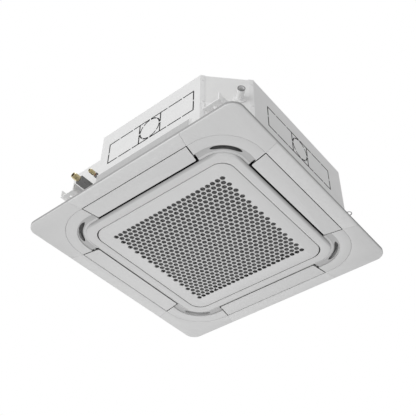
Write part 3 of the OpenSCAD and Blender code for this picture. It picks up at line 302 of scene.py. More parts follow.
class Surface(Enum):
    """The kinds of surface that a finish can have."""

    MOULDED = "moulded"
    SHEET = "sheet"
    METAL = "metal"
    FOAM = "foam"
    NET = "net"
    FINS = "fins"


@dataclass(frozen=True)
class PaintedShade:
    """Where a finish is darkened with painted shade towards the outlets, as distances from the middle, in
    metres.
    """

    start: float
    stop: float
    amount: float


@dataclass(frozen=True)
class Finish:
    """A named finish that turns into one procedural material."""

    name: str
    tone: Tone
    surface: Surface
    worn: Point3 = (0.9, 0.9, 0.9)
    wear: float = 0.25
    dust: float = 0.12
    bump: float = 0.05
    scale: float = 900.0
    drift: float = 0.04
    fade: PaintedShade | None = None

    def material(self, kit: ShaderKit) -> Material:
        """Build the material, or find it again.

        Args:
            kit: The shared node groups.

        Returns:
            The finished material.
        """
        made = bpy.data.materials.get(self.name)
        if made:
            return made
        made = bpy.data.materials.new(self.name)
        made.use_nodes = True
        made.diffuse_color = (*self.tone.colour, 1.0)
        graph = Graph(made.node_tree)
        shader = next(n for n in graph.tree.nodes if n.type == "BSDF_PRINCIPLED")
        shader.inputs["Metallic"].default_value = self.tone.metallic
        shader.inputs["Specular IOR Level"].default_value = self.tone.specular
        height, drift = self._skin(graph, kit)
        low, high = max(SMOOTHEST, self.tone.roughness - SMOOTHER), min(1.0, self.tone.roughness + ROUGHER)
        spread = graph.add("ShaderNodeMapRange", {"Value": drift, "To Min": low, "To Max": high})
        bump = graph.add("ShaderNodeBump", {"Strength": self.bump, "Distance": MM, "Height": height})
        for source, name in ((self._colour(graph, kit, drift), "Base Color"),
                             (spread.outputs["Result"], "Roughness"), (bump.outputs["Normal"], "Normal")):
            graph.tree.links.new(source, shader.inputs[name])
        return made

    @staticmethod
    def _place(graph: Graph, group: Tree, **values: float) -> bpy.types.bpy_prop_collection:
        """Place one shared group in the material and return its outputs."""
        return graph.add("ShaderNodeGroup", values, node_tree=group).outputs

    def _skin(self, graph: Graph, kit: ShaderKit) -> tuple[Socket, Socket]:
        """Add what the kind of surface asks for.

        Args:
            graph: The material's graph.
            kit: The shared node groups.

        Returns:
            The height, and a slow change of shade or the gaps of a net.
        """
        if self.surface in (Surface.SHEET, Surface.METAL):
            skin = self._place(graph, kit.brush, Scale=self.scale, Depth=1.0)
            return skin["Height"], skin["Cloud"]
        if self.surface is Surface.NET:
            skin = self._place(graph, kit.weave, Pitch=1.0 / self.scale)
            return skin["Height"], skin["Gap"]
        if self.surface is Surface.FINS:
            axes = graph.axes()
            along = graph.math("ADD", axes["X"], axes["Y"])
            wave = graph.math("SINE", graph.math("MULTIPLY", along, 2 * pi * self.scale))
            # The third input stays at its default, one half, so the shade runs from 0 to 1.
            return wave, graph.math("MULTIPLY_ADD", wave, 0.5)
        skin = self._place(graph, kit.grain, Scale=self.scale, Depth=1.0)
        return skin["Height"], skin["Drift"]

    def _colour(self, graph: Graph, kit: ShaderKit, drift: Socket) -> Socket:
        """Add the base colour: drift of shade, painted shade towards the outlets, worn edges, then settled
        dust.

        Args:
            graph: The material's graph.
            kit: The shared node groups.
            drift: The slow change of shade.

        Returns:
            The colour.
        """
        base = graph.mix(self.tone.colour, tuple(c * (1 - self.drift * 2) for c in self.tone.colour), drift)
        # Painted shade: the colour darkens towards the outlets.
        if self.fade:
            fade = self._place(graph, kit.fade, Start=self.fade.start, Stop=self.fade.stop,
                               Amount=self.fade.amount)
            base = graph.mix(base, grey(0.0), fade["Mask"])
        base = graph.mix(base, self.worn, self._place(graph, kit.wear, Amount=self.wear, Scale=60.0)["Mask"])
        return graph.mix(base, DUST_COLOUR, self._place(graph, kit.dust, Amount=self.dust, Scale=9.0)["Mask"])


PANEL = Finish("panel_white", Tone(grey(0.64), 0.46), Surface.MOULDED, bump=0.03, scale=1400.0, drift=0.01)
# The frame greys towards the outlets: painted shade for the recess between the vanes and the frame.
FRAME = replace(PANEL, name="frame_white", fade=PaintedShade(0.334, 0.3455, 0.47))
VANE = replace(PANEL, name="vane_white", tone=Tone(grey(0.65), 0.42))
GRILLE = replace(PANEL, name="grille_white", tone=Tone(grey(0.66), 0.44))
# Darker grey of the grooves' floor and outer slope: painted shade for the recessed groove.
GROOVE_SHADE = replace(PANEL, name="groove_painted_shade", tone=Tone(grey(0.50), 0.6))
MOULDING = Finish("white_moulding", Tone(grey(0.86), 0.35), Surface.MOULDED, bump=0.04)
FAN = Finish("fan_moulding", Tone((0.62, 0.63, 0.62), 0.5), Surface.MOULDED, bump=0.06)
BLACK = Finish("black_moulding", Tone((0.035, 0.035, 0.038), 0.45), Surface.MOULDED, bump=0.08,
               worn=grey(0.12))
CATCH = Finish("catch_black", Tone(grey(0.02), 0.6, 0.0, 0.3), Surface.MOULDED, wear=0.1, worn=grey(0.08))
# Grey of the ring at the drain's mouth: painted shade at the mouth's edge.
MOUTH_SHADE = Finish("drain_mouth_painted_shade", Tone(grey(0.24), 0.6, 0.0, 0.3), Surface.MOULDED, bump=0.08, worn=grey(0.35))
RUBBER = Finish("black_rubber", Tone((0.025, 0.025, 0.026), 0.75), Surface.MOULDED, bump=0.15,
                worn=grey(0.08))
BOARD = Finish("circuit_green", Tone((0.02, 0.16, 0.07), 0.35), Surface.MOULDED, bump=0.2, scale=300.0)
BLOCK = Finish("terminal_cream", Tone((0.75, 0.72, 0.60), 0.5), Surface.MOULDED, bump=0.08)
SHEET = Finish("coated_sheet", Tone(grey(0.80), 0.45), Surface.SHEET, bump=0.04, scale=30.0, dust=0.2,
               drift=0.02)
# A little lighter than the sheet: painted light on the chamfered corner plates.
LIT_CORNER = replace(SHEET, name="corner_painted_light", tone=Tone((0.83, 0.83, 0.825), 0.45))
# Mid grey band on the casing's lower part: painted shade under the skirt, above the panel.
SKIRT_SHADE = Finish("skirt_painted_shade", Tone(grey(0.50), 0.5, 0.0, 0.4), Surface.SHEET, bump=0.04, scale=30.0, drift=0.02)
MOTOR = Finish("motor_enamel", Tone((0.27, 0.28, 0.30), 0.4, 0.2), Surface.SHEET, bump=0.08, scale=50.0)
WRAP = Finish("foam_wrap", Tone(grey(0.24), 0.85, 0.0, 0.25), Surface.SHEET, bump=0.8, scale=110.0, wear=0.2,
              worn=grey(0.36), drift=0.2)
BRACKET = Finish("coated_bracket", Tone(grey(0.94), 0.3, 0.1), Surface.METAL, bump=0.08, scale=60.0,
                 worn=grey(0.92))
SCREW = Finish("painted_screw", Tone(grey(0.80), 0.4), Surface.METAL, scale=200.0)
WIRE = Finish("bright_wire", Tone((0.42, 0.42, 0.43), 0.3, 0.9), Surface.METAL, bump=0.1, scale=200.0,
              worn=grey(0.8))
SHAFT = Finish("ground_shaft", Tone((0.70, 0.70, 0.72), 0.22, 1.0), Surface.METAL, bump=0.06, scale=120.0)
COPPER = Finish("drawn_copper", Tone((0.72, 0.38, 0.24), 0.3, 1.0), Surface.METAL, bump=0.1, scale=80.0,
                worn=(0.85, 0.55, 0.4), drift=0.15)
BRASS = Finish("turned_brass", Tone((0.92, 0.79, 0.46), 0.1, 1.0), Surface.METAL, bump=0.1, scale=150.0,
               worn=(0.98, 0.94, 0.8), drift=0.25)
FOAM = Finish("white_foam", Tone((0.78, 0.78, 0.77), 0.85, 0.0, 0.2), Surface.FOAM, bump=0.5, scale=260.0,
              wear=0.1)
SEAL = Finish("dark_seal", Tone((0.06, 0.06, 0.065), 0.9, 0.0, 0.2), Surface.FOAM, bump=0.5, scale=500.0,
              wear=0.1)
# Dark grey of the rim's seal: partly the foam's own colour, partly painted shade along the panel's rim.
RIM_SEAL_SHADE = Finish("rim_seal_and_shade", Tone(grey(0.40), 0.8, 0.0, 0.2), Surface.FOAM, bump=0.2, scale=700.0, wear=0.0)
# Dark grey inside the slots' wells: painted shade for the deep slots.
WELL_SHADE = Finish("slot_painted_shade", Tone(grey(0.16), 0.8, 0.0, 0.2), Surface.FOAM, bump=0.2, scale=500.0, wear=0.0)
# Near black, painted shade: it stands for the shade in the outlets, in the gaps round the grille and the
# vanes, under the seams and in the knock-outs' slits.
SHADE = Finish("painted_shade_black", Tone((0.018, 0.018, 0.019), 0.9, 0.0, 0.1), Surface.FOAM, bump=0.3, scale=500.0,
               wear=0.0, dust=0.05)
NET = Finish("filter_net", Tone(grey(0.16), 0.7), Surface.NET, bump=0.3, scale=122.0, wear=0.0, drift=0.46)
FINS = Finish("fin_stack", Tone((0.72, 0.74, 0.76), 0.35, 0.8), Surface.FINS, bump=0.8, scale=600.0,
              drift=0.25)


# GEOMETRY


MERGE = 0.02 * MM
SAME_LEVEL = 0.01 * MM
CUT_DISTANCE = 0.001 * MM
RIB_PITCH = 70.0
RIBS_EACH_WAY = 3
RIB_HALF = 1.0


def at(x: float, y: float, h: float) -> Vector:
    """Return a row-frame point from millimetres, with h counted from the ceiling line."""
    return Vector((x * MM, y * MM, h * MM + CEILING_H))


def height(point: Vector) -> float:
    """Return a point's height above the ceiling line, in millimetres."""
    return (point.z - CEILING_H) / MM


def span(sign: int, start: float, stop: float) -> list[float]:
    """Return the low and high end of a stretch that lies on one side of the middle."""
    return sorted((sign * start, sign * stop))


def shrunk(half: float, corner: float, steps: Sequence[Point2]) -> list[Point3]:
    """Return rings of a rounded square, each smaller than it by a step and at its own height."""
    return [(half - step, corner - step, h) for step, h in steps]


@dataclass
class Form:
    """Gathers vertices and faces, in metres in the row frame, and turns them into one piece."""

    points: list[Vector] = field(default_factory=list)
    faces: list[tuple[int, ...]] = field(default_factory=list)

    def grid(self, rows: Sequence[Sequence[Vector]], close_rows: bool = False,
             close_columns: bool = False) -> None:
        """Add a grid of quads.

        Args:
            rows: Rows of points, all as long.
            close_rows: Join the last row to the first.
            close_columns: Join the last column to the first.
        """
        start, wide, high = len(self.points), len(rows[0]), len(rows)
        for row in rows:
            self.points.extend(row)
        for r in range(high if close_rows else high - 1):
            for c in range(wide if close_columns else wide - 1):
                r2, c2 = (r + 1) % high, (c + 1) % wide
                self.faces.append((start + r * wide + c, start + r * wide + c2,
                                   start + r2 * wide + c2, start + r2 * wide + c))

    def cap(self, ring: Sequence[Vector]) -> None:
        """Add one flat face from a ring of points."""
        self.faces.append(tuple(range(len(self.points), len(self.points) + len(ring))))
        self.points.extend(ring)

    def bar(self, rows: Sequence[Sequence[Vector]]) -> None:
        """Add a solid bar.

        Args:
            rows: Its section at each place along it, the first and last of which are its ends.
        """
        self.grid(rows, close_columns=True)
        self.cap(rows[0][::-1])
        self.cap(rows[-1])

    def mesh(self, other: Mesh, turn: Matrix | None = None) -> None:
        """Add a whole mesh and remove its data block.

        Args:
            other: The mesh to take over.
            turn: Where it goes.
        """
        start, turn = len(self.points), turn or Matrix.Identity(4)
        self.points.extend(turn @ v.co for v in other.vertices)
        self.faces.extend(tuple(start + i for i in p.vertices) for p in other.polygons)
        bpy.data.meshes.remove(other)

    def piece(self, name: str, finish: Material, angle: float = 32.0, turn: Matrix | None = None,
              second: Material | None = None, chosen: Callable[[Vector], bool] | None = None) -> Object:
        """Make the object.

        Args:
            name: The piece's name.
            finish: Its material.
            angle: Edges sharper than this, in degrees, stay sharp.
            turn: A rotation about the row's Z axis.
            second: A material for the chosen faces.
            chosen: Says from a face's centre whether it takes the second material.

        Returns:
            The new object, linked to the scene.
        """
        data = bpy.data.meshes.new(name)
        points = [turn @ p for p in self.points] if turn else self.points
        data.from_pydata([tuple(p) for p in points], [], self.faces)
        work = bmesh.new()
        work.from_mesh(data)
        bmesh.ops.remove_doubles(work, verts=work.verts, dist=MERGE)
        bmesh.ops.recalc_face_normals(work, faces=work.faces)
        work.to_mesh(data)
        work.free()
        data.shade_smooth()
        data.set_sharp_from_angle(angle=radians(angle))
        data.materials.append(finish)
        if second and chosen:
            data.materials.append(second)
            for face in data.polygons:
                face.material_index = int(chosen(face.center))
        made = bpy.data.objects.new(name, data)
        bpy.context.scene.collection.objects.link(made)
        return made


def arc(x: float, y: float, radius: float, start: float, stop: float, steps: int) -> list[Point2]:
    """Return points along an arc.

    Args:
        x: The centre's place.
        y: The centre's other place.
        radius: The arc's radius.
        start: The angle of the first point, in radians.
        stop: The angle of the last point.
        steps: How many steps lie between them.

    Returns:
        The points, both ends included.
    """
    angles = [start + (stop - start) * k / steps for k in range(steps + 1)]
    return [(x + radius * cos(a), y + radius * sin(a)) for a in angles]


def rounded_square(half: float, radius: float, segments: int = 16) -> list[Point2]:
    """Return the outline of a square with round corners, counter-clockwise from the +X side.

    Args:
        half: Half of its width.
        radius: The corners' radius.
        segments: Steps in each corner.

    Returns:
        The outline's points.
    """
    centre = half - radius
    outline = []
    for quarter, (sx, sy) in enumerate(((1, 1), (-1, 1), (-1, -1), (1, -1))):
        start = quarter * QUARTER
        outline += arc(sx * centre, sy * centre, radius, start, start + QUARTER, segments)
    return outline


def round_corners(corners: Sequence[Point2], radii: Sequence[float], steps: int = 6) -> list[Point2]:
    """Return an outline whose corners are rounded.

    Args:
        corners: The sharp corners in order.
        radii: The distance that each rounding starts before its corner.
        steps: Steps in each rounding.

    Returns:
        The softened outline.
    """
    made = []
    for k, corner in enumerate(corners):
        p = Vector(corner)
        before, after = Vector(corners[k - 1]) - p, Vector(corners[(k + 1) % len(corners)]) - p
        a, b = p + before.normalized() * radii[k], p + after.normalized() * radii[k]
        for t in (j / steps for j in range(steps + 1)):
            made.append(tuple(a * (1 - t) ** 2 + p * 2 * t * (1 - t) + b * t ** 2))
    return made


def oblong(x: Point2, y: Point2) -> list[Point2]:
    """Return the outline of a hole with square corners, clockwise, from its low and high ends."""
    return [(x[0], y[0]), (x[0], y[1]), (x[1], y[1]), (x[1], y[0])]


def loft_squares(form: Form, rings: Sequence[Point3], segments: int = 16) -> None:
    """Add a closed frame lofted through rounded squares.

    Args:
        form: Where the faces go.
        rings: Half width, corner radius and height of each ring.
        segments: Steps in each corner.
    """
    rows = [[at(x, y, h) for x, y in rounded_square(half, radius, segments)] for half, radius, h in rings]
    form.grid(rows, close_rows=True, close_columns=True)


def plate(loops: Sequence[Sequence[Point2]], low: float, high: float, edge: float = 0.6,
          steps: int = 2) -> Mesh:
    """Return a plate with softened edges, cut from flat outlines.

    Args:
        loops: The outline and its holes.
        low: Height of the underside, in millimetres from the ceiling line.
        high: Height of the top.
        edge: Radius of the softened edges.
        steps: Resolution of the softened edges.

    Returns:
        The plate's mesh, in metres.
    """
    curve = bpy.data.curves.new("plate_outline", "CURVE")
    curve.dimensions = "2D"
    curve.fill_mode = "BOTH"
    curve.extrude = ((high - low) / 2 - edge) * MM
    curve.bevel_depth = edge * MM
    curve.bevel_resolution = steps
    curve.offset = -edge * MM
    for loop in loops:
        spline = curve.splines.new("POLY")
        spline.points.add(len(loop) - 1)
        for k, (x, y) in enumerate(loop):
            spline.points[k].co = (x * MM, y * MM, 0.0, 1.0)
        spline.use_cyclic_u = True
    holder = bpy.data.objects.new("plate_outline", curve)
    holder.location = (0, 0, (low + high) / 2 * MM + CEILING_H)
    bpy.context.scene.collection.objects.link(holder)
    graph = bpy.context.evaluated_depsgraph_get()
    mesh = bpy.data.meshes.new_from_object(holder.evaluated_get(graph))
    mesh.transform(Matrix.Translation(holder.location))
    bpy.data.objects.remove(holder)
    bpy.data.curves.remove(curve)
    return mesh


def soft_box(form: Form, low: Point3, high: Point3, edge: float = 0.5, turn: Matrix | None = None) -> None:
    """Add a box with bevelled edges.

    Args:
        form: Where the faces go.
        low: Lowest corner, in millimetres.
        high: Highest corner.
        edge: Width of the bevels.
        turn: A rotation about the row's Z axis.
    """
    work = bmesh.new()
    bmesh.ops.create_cube(work, size=1.0)
    size = [(b - a) * MM for a, b in zip(low, high)]
    middle = at(*((a + b) / 2 for a, b in zip(low, high)))
    bmesh.ops.scale(work, vec=size, verts=work.verts)
    bmesh.ops.translate(work, vec=middle, verts=work.verts)
    width = min(edge * MM, min(size) * 0.4)
    bmesh.ops.bevel(work, geom=work.edges[:], offset=width, segments=2, affect="EDGES", profile=0.7)
    mesh = bpy.data.meshes.new("soft_box")
    work.to_mesh(mesh)
    work.free()
    form.mesh(mesh, turn)


def stiffeners(form: Form, reach_in: float, reach_out: float, low: float, high: float, turn: Matrix) -> None:
    """Add the row of thin ribs that runs along one side.

    Args:
        form: Where the faces go.
        reach_in: Distance of their inner ends from the centre.
        reach_out: Distance of their outer ends.
        low: Height of their undersides.
        high: Height of their tops.
        turn: Carries the +X side to theirs.
    """
    for y in (k * RIB_PITCH for k in range(-RIBS_EACH_WAY, RIBS_EACH_WAY + 1)):
        soft_box(form, (reach_in, y - RIB_HALF, low), (reach_out, y + RIB_HALF, high), 0.3, turn)


def lathe(form: Form, profile: Sequence[Point2], base: Matrix, segments: int = 24,
          closed: bool = True) -> None:
    """Add a turned shape.

    Args:
        form: Where the faces go.
        profile: Radius and distance along the axis, in millimetres.
        base: Carries the axis (+Z) to its place, in metres.
        segments: Steps round the axis.
        closed: Join the profile's end to its start.
    """
    rows = []
    for a in (2 * pi * k / segments for k in range(segments)):
        rows.append([base @ Vector((r * cos(a) * MM, r * sin(a) * MM, z * MM)) for r, z in profile])
    form.grid(rows, close_rows=True, close_columns=closed)


def sink(mesh: Mesh, box: tuple[float, float, float, float], top: float, floor: float) -> None:
    """Sink a rectangular pocket into a flat top face of a mesh.

    Args:
        mesh: The mesh to change, in metres.
        box: Lowest x and y, then highest x and y, in millimetres.
        top: Height of the flat top, in millimetres from the ceiling line.
        floor: Height of the pocket's floor.
    """
    work = bmesh.new()
    work.from_mesh(mesh)
    level, drop = at(0, 0, top).z, (top - floor) * MM
    box = [side * MM for side in box]
    for axis, place in enumerate(box):
        axis %= 2
        flat = [f for f in work.faces if all(abs(v.co.z - level) < SAME_LEVEL for v in f.verts)]
        near = [f for f in flat
                if min(v.co[axis] for v in f.verts) < place < max(v.co[axis] for v in f.verts)]
        parts = list({e for f in near for e in f.edges}) + near + list({v for f in near for v in f.verts})
        point, normal = Vector((0, 0, 0)), Vector((0, 0, 0))
        point[axis], normal[axis] = place, 1.0
        bmesh.ops.bisect_plane(work, geom=parts, dist=CUT_DISTANCE, plane_co=point, plane_no=normal)
    inside = [f for f in work.faces if all(abs(v.co.z - level) < SAME_LEVEL for v in f.verts)
              and box[0] < f.calc_center_median().x < box[2] and box[1] < f.calc_center_median().y < box[3]]
    raised = bmesh.ops.extrude_face_region(work, geom=inside)
    for vertex in (v for v in raised["geom"] if isinstance(v, bmesh.types.BMVert)):
        vertex.co.z -= drop
    bmesh.ops.delete(work, geom=inside, context="FACES")
    work.to_mesh(mesh)
    work.free()


def reach(point: Vector, middle: float = 0.257) -> float:
    """Return how far out a point lies on a square with round corners.

    Args:
        point: The point, in metres.
        middle: Where the corners' centres lie, in metres.

    Returns:
        The distance in millimetres.
    """
    x, y = abs(point.x), abs(point.y)
    out = middle + hypot(x - middle, y - middle) if min(x, y) > middle else max(x, y)
    return out / MM


def axis_at(origin: Vector, direction: Sequence[float]) -> Matrix:
    """Return the matrix that carries +Z at the origin to a direction at a point."""
    return Matrix.Translation(origin) @ Vector(direction).to_track_quat("Z", "Y").to_matrix().to_4x4()


# THE OBJECT


@dataclass
class Builder:
    """Shares the finishes and registers each piece on its body."""

    kit: ShaderKit

    def finish(self, finish: Finish) -> Material:
        """Return the material of a finish."""
        return finish.material(self.kit)

    def settle(self, piece: Object, body: str, slot: str, *nodes: str) -> None:
        """Let a piece ride on a body and stand for its nodes.

        Args:
            piece: The new object.
            body: The body that it moves with.
            slot: The record's material slot, which is not used.
            nodes: The nodes that it replaces.
        """
        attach(piece, body)
        if nodes:
            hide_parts(*nodes)
        log.info("%s rides on %s", piece.name, body)


@dataclass
class DecorationPanel(Builder):
    """The square panel: soft edge, corner rings with grooves, covers, walls and deck.

    Lengths are in millimetres from the unit's middle, and heights from the ceiling line.
    """

    half: float = 475.0
    corner: float = 44.0
    depth: float = 14.0
    band: float = 6.0
    skin: float = 3.0
    gasket: float = 10.0
    rim_wall: float = 2.6
    centre: float = 260.0
    ring: float = 160.0
    seam: float = 238.0
    seam_half: float = 0.35
    cover_gap: float = 0.45
    cover_edge: float = 0.35
    slant: float = 16.0
    louvre_out: float = 420.0
    louvre_in: float = 352.0
    louvre_gap: float = 1.5
    end_gap: float = 2.5
    end_step: float = 3.0
    end_in: float = 226.0
    end_out: float = 238.0
    end_wall: float = 2.0
    groove_out: float = 118.0
    groove_floor: float = -9.5
    frame_r: float = 85.4
    frame_drop: float = 2.6
    slot_out: float = 113.2
    slot_in: float = 97.8
    slot_lip: float = 5.0
    slot_top: float = 9.0
    slot_point: int = 6
    slot_over: float = 0.6
    spread: float = 31.0
    arc_steps: int = 24
    corner_steps: int = 16
    duct_shade_low: float = -8.5
    wall_low: float = -9.0
    wall_top: float = 15.0
    deck: float = 18.0
    deck_hole: Point2 = (330.0, 81.0)
    outlet: Point2 = (347.0, 410.0)
    outlet_half: float = 218.0
    pipe_outlet_low: float = -158.0
    seam_shade_inset: float = 9.0
    seam_shade_over: float = 1.5
    seam_shade_h: float = -10.76
    pocket_inset: float = 7.5
    pocket_over: float = 0.5
    pocket: Point2 = (-10.7, -8.2)
    ribs: Point2 = (426.5, 471.0)
    rib_h: Point2 = (-12.0, -1.0)
    boss: float = 385.0
    boss_profile: tuple[Point2, ...] = ((3.3, 18.0), (10.0, 18.0), (10.0, -9.0), (7.1, -9.0), (7.1, -4.0),
                                        (3.3, -4.0))

    def build(self) -> None:
        """Build every piece of the panel."""
        white, groove_shade, dark = self.finish(PANEL), self.finish(GROOVE_SHADE), self.finish(SHADE)
        made = [
            # The faces that look into the outlets take black painted shade.
            self._bands().piece("panel_side_bands", white, second=dark, chosen=self._in_duct),
            # The grooves take a darker grey, painted shade.
            self._rings().piece("panel_corner_rings", white, 40, second=groove_shade, chosen=self._in_groove),
            # The slots' wells take a dark grey, painted shade.
            self._slots().piece("panel_slot_wells", self.finish(MOULDING), second=self.finish(WELL_SHADE),
                                chosen=self._in_well),
            # The rim's seal, dark grey, is also painted shade along the rim.
            self._gasket().piece("panel_rim_seal_and_shade", self.finish(RIM_SEAL_SHADE)),
            # Black sheets, painted shade under the covers' seams.
            self._seam_shade().piece("panel_seam_shade", dark),
            self._tray().piece("panel_tray_back", white),
            # The wall's faces that look into the outlets take black painted shade.
            self._walls().piece("panel_air_walls", white, second=dark, chosen=self._in_duct)]
        for piece in made:
            self.settle(piece, "unit", "panel_plastic", "panel_frame")
        for k, side in enumerate(Side, 1):
            cover = self._cover().piece(f"corner_cover_skin_{k}", white, turn=side.turn())
            self.settle(cover, "unit", "panel_plastic", f"corner_cover_{k}")

    def _in_groove(self, centre: Vector) -> bool:
        """Say whether a face lies in a groove, beside its slot or on the outer side, where the shade is
        painted.

        Args:
            centre: The face's centre, in metres.

        Returns:
            True if it takes the groove's painted shade.
        """
        x, y = (abs(place) / MM - self.centre for place in centre.xy)
        out = hypot(max(x, 0.0), max(y, 0.0))
        return height(centre) > self.groove_floor - self.frame_drop and out > self.slot_in - self.slot_lip

    def _in_well(self, centre: Vector) -> bool:
        """Say whether a face of a slot's well isn't its outer wall, and so takes the well's painted shade."""
        return hypot(*(abs(place) / MM - self.centre for place in centre.xy)) < self.slot_out

    def _in_duct(self, centre: Vector) -> bool:
        """Say whether a face looks into the air's way out, where the shade is painted black."""
        inside = reach(centre) < self.louvre_out + self.louvre_gap + 1.0
        return inside and self.duct_shade_low + 0.5 < height(centre) < self.deck - 0.3

    def _end(self, x: float, grow: float = 0.0) -> float:
        """Return how far along a side the vane's end line lies at a distance from the centre."""
        lean = (self.end_out - self.end_in) / (self.louvre_out - self.louvre_in)
        return self.end_in + self.end_gap + max(0.0, x - self.louvre_in) * lean + grow

    def _seam(self, x: float) -> float:
        """Return how far along a side the cover's seam lies at a distance from the centre."""
        return self.seam + (x - self.louvre_out) * self.slant / (self.half - self.louvre_out)

    def _edge(self, steps: int = 8) -> list[Point2]:
        """Return the soft edge.

        Args:
            steps: How many steps round it.

        Returns:
            Distance and height of each point, from the gasket to the flat face.
        """
        drop = self.depth - self.gasket
        angles = [k / steps * QUARTER for k in range(steps + 1)]
        return [(self.half - self.band * (1 - cos(a)), -self.gasket - drop * sin(a)) for a in angles]

    def _gasket(self) -> Form:
        """Build the strip along the rim that rests on the ceiling: a foam seal whose dark grey is also
        painted shade along the rim.

        Returns:
            The strip.
        """
        form = Form()
        steps = [(0.3, -self.gasket), (0.0, 0.3 - self.gasket), (0.0, -0.6), (0.6, 0.0), (3.0, 0.0),
                 (3.0, -self.gasket)]
        loft_squares(form, shrunk(self.half, self.corner, steps), 20)
        return form

    def _bands(self) -> Form:
        """Build the four side bands outside the vanes, with their soft outer edges.

        Returns:
            The bands.
        """
        form = Form()
        lip, face, back = self.louvre_out + self.louvre_gap, -self.depth, self.skin - self.depth
        profile = self._edge() + [
            (lip + 0.7, face), (lip + 0.2, face + 0.3), (lip, face + 0.9), (lip, self.duct_shade_low),
            (lip, self.wall_top), (lip + self.skin, self.wall_top), (lip + self.skin, back),
            (self.half - self.band, back), (self.half - self.rim_wall, -self.gasket)]
        for side in Side:
            form.bar([[side.turn() @ at(x, sign * (self._seam(max(x, self.louvre_out)) - self.seam_half), h)
                       for x, h in profile] for sign in (-1, 1)])
        return form

    def _ring_sections(self) -> tuple[list[Point2], list[Point2], list[Point2]]:
        """Give the corner ring's sections as radius and height of each point.

        Returns:
            The face with the groove's slope, the strip where the slot is, and the inner edge.
        """
        face, floor = -self.depth, self.groove_floor
        slope = [(self.ring - 0.4, 6.0), (self.ring - 0.4, face + 0.7), (self.ring - 0.8, face + 0.15),
                 (self.ring - 1.4, face), (self.groove_out + 1.2, face), (self.groove_out + 0.3, face + 0.3),
                 (self.groove_out, face + 1.2), (self.groove_out - 0.4, floor - 0.6),
                 (self.groove_out - 1.0, floor), (self.slot_out, floor)]
        inner = [(self.slot_in, floor), (self.slot_in - 1.0, floor - 0.1),
                 (self.slot_in - self.slot_lip, floor - 1.2), (self.frame_r, floor - self.frame_drop),
                 (self.frame_r, 6.0)]
        return slope, [(self.slot_out, floor), (self.slot_in, floor)], inner

    def _rings(self) -> Form:
        """Build the four corner rings: flat arc, sloped groove, floor and inner edge.

        Returns:
            The rings.
        """
        form = Form()
        slope, floor, inner = self._ring_sections()
        low, high = radians(45 - self.spread), radians(45 + self.spread)
        sweeps = [(0.0, low, 10), (low, high, self.arc_steps), (high, QUARTER, 10)]
        for turn in (side.turn() for side in Side):
            for part, (start, stop, steps) in enumerate(sweeps):
                angles = [start + (stop - start) * k / steps for k in range(steps + 1)]
                for section in (slope, inner) if part == 1 else (slope, floor, inner):
                    rows = [self._station(section, a) for a in angles]
                    if part == 0:
                        rows.insert(0, self._station(section, 0.0, at_end=True))
                    if part == 2:
                        rows.append(self._station(section, QUARTER, at_end=True))
                    form.grid([[turn @ p for p in row] for row in rows])
            for k, edge in enumerate((self.slot_out, self.slot_in)):
                angles = [low + (high - low) * step / self.arc_steps for step in range(self.arc_steps + 1)]
                rows = []
                for a in angles:
                    section = [(r, self.groove_floor) for r in (edge, self._opening(a)[k])]
                    rows.append(self._station(section, a))
                form.grid([[turn @ p for p in row] for row in rows])
            self._end_walls(form, turn)
        return form

    def _opening(self, angle: float) -> Point2:
        """Narrow the slot to a point at its ends.

        Args:
            angle: A direction from the corner's centre, in radians.

        Returns:
            The slot's outer and inner radius there.
        """
        aside = min(1.0, abs(angle - QUARTER / 2) / radians(self.spread))
        shut = aside ** self.slot_point * (self.slot_out - self.slot_in) / 2
        return self.slot_out - shut, self.slot_in + shut

    def _slots(self) -> Form:
        """Build the wells behind the grooves' slots.

        Returns:
            The wells.
        """
        form = Form()
        low, high = radians(45 - self.spread - self.slot_over), radians(45 + self.spread + self.slot_over)
        out, inward, mouth = self.slot_out + 1.0, self.slot_in - 1.0, self.groove_floor + 0.3
        section = [(out, mouth), (out, self.slot_top), (inward, self.slot_top), (inward, mouth)]
        angles = [low + (high - low) * k / self.arc_steps for k in range(self.arc_steps + 1)]
        for side in Side:
            rows = [[side.turn() @ p for p in self._station(section, a)] for a in angles]
            form.grid(rows)
            form.cap(rows[0])
            form.cap(rows[-1][::-1])
        return form

    def _station(self, section: Sequence[Point2], angle: float, at_end: bool = False) -> list[Vector]:
        """Place a section of the corner ring.

        Args:
            section: Radius and height of each point.
            angle: Direction from the corner's centre.
            at_end: Run on to the gap beside the vane instead.

        Returns:
            One point for each point of the section.
        """
        if not at_end:
            return [at(self.centre + r * cos(angle), self.centre + r * sin(angle), h) for r, h in section]
        rim = self.groove_out - 0.7
        ends = [(self.centre + r, self._end(self.centre + r, 0.0 if r > rim else self.end_step), h)
                for r, h in section]
        return [at(x, y, h) if angle < 1 else at(y, x, h) for x, y, h in ends]

    def _end_walls(self, form: Form, turn: Matrix) -> None:
        """Add the wall beside each end of a vane, from the face or the groove's floor up to the deck.

        Args:
            form: Where the faces go.
            turn: The quarter turn of this corner.
        """
        shoulder = self.centre + self.groove_out
        spans = [(self.centre + self.frame_r, shoulder - 1.0, self.groove_floor + 0.05, self.end_step),
                 (shoulder, self.louvre_out + self.louvre_gap - 1.0, -self.depth, 0.0)]
        for flip in (False, True):
            for start, stop, low, grow in spans:
                rows = []
                for x in (start, stop):
                    y = self._end(x, grow)
                    back = y + self.end_wall
                    section = [(y, self.wall_top), (y, low + 0.4), (y + 0.4, low), (back, low + 0.3),
                               (back, self.wall_top)]
                    rows.append([turn @ (at(v, x, h) if flip else at(x, v, h)) for v, h in section])
                form.bar(rows)

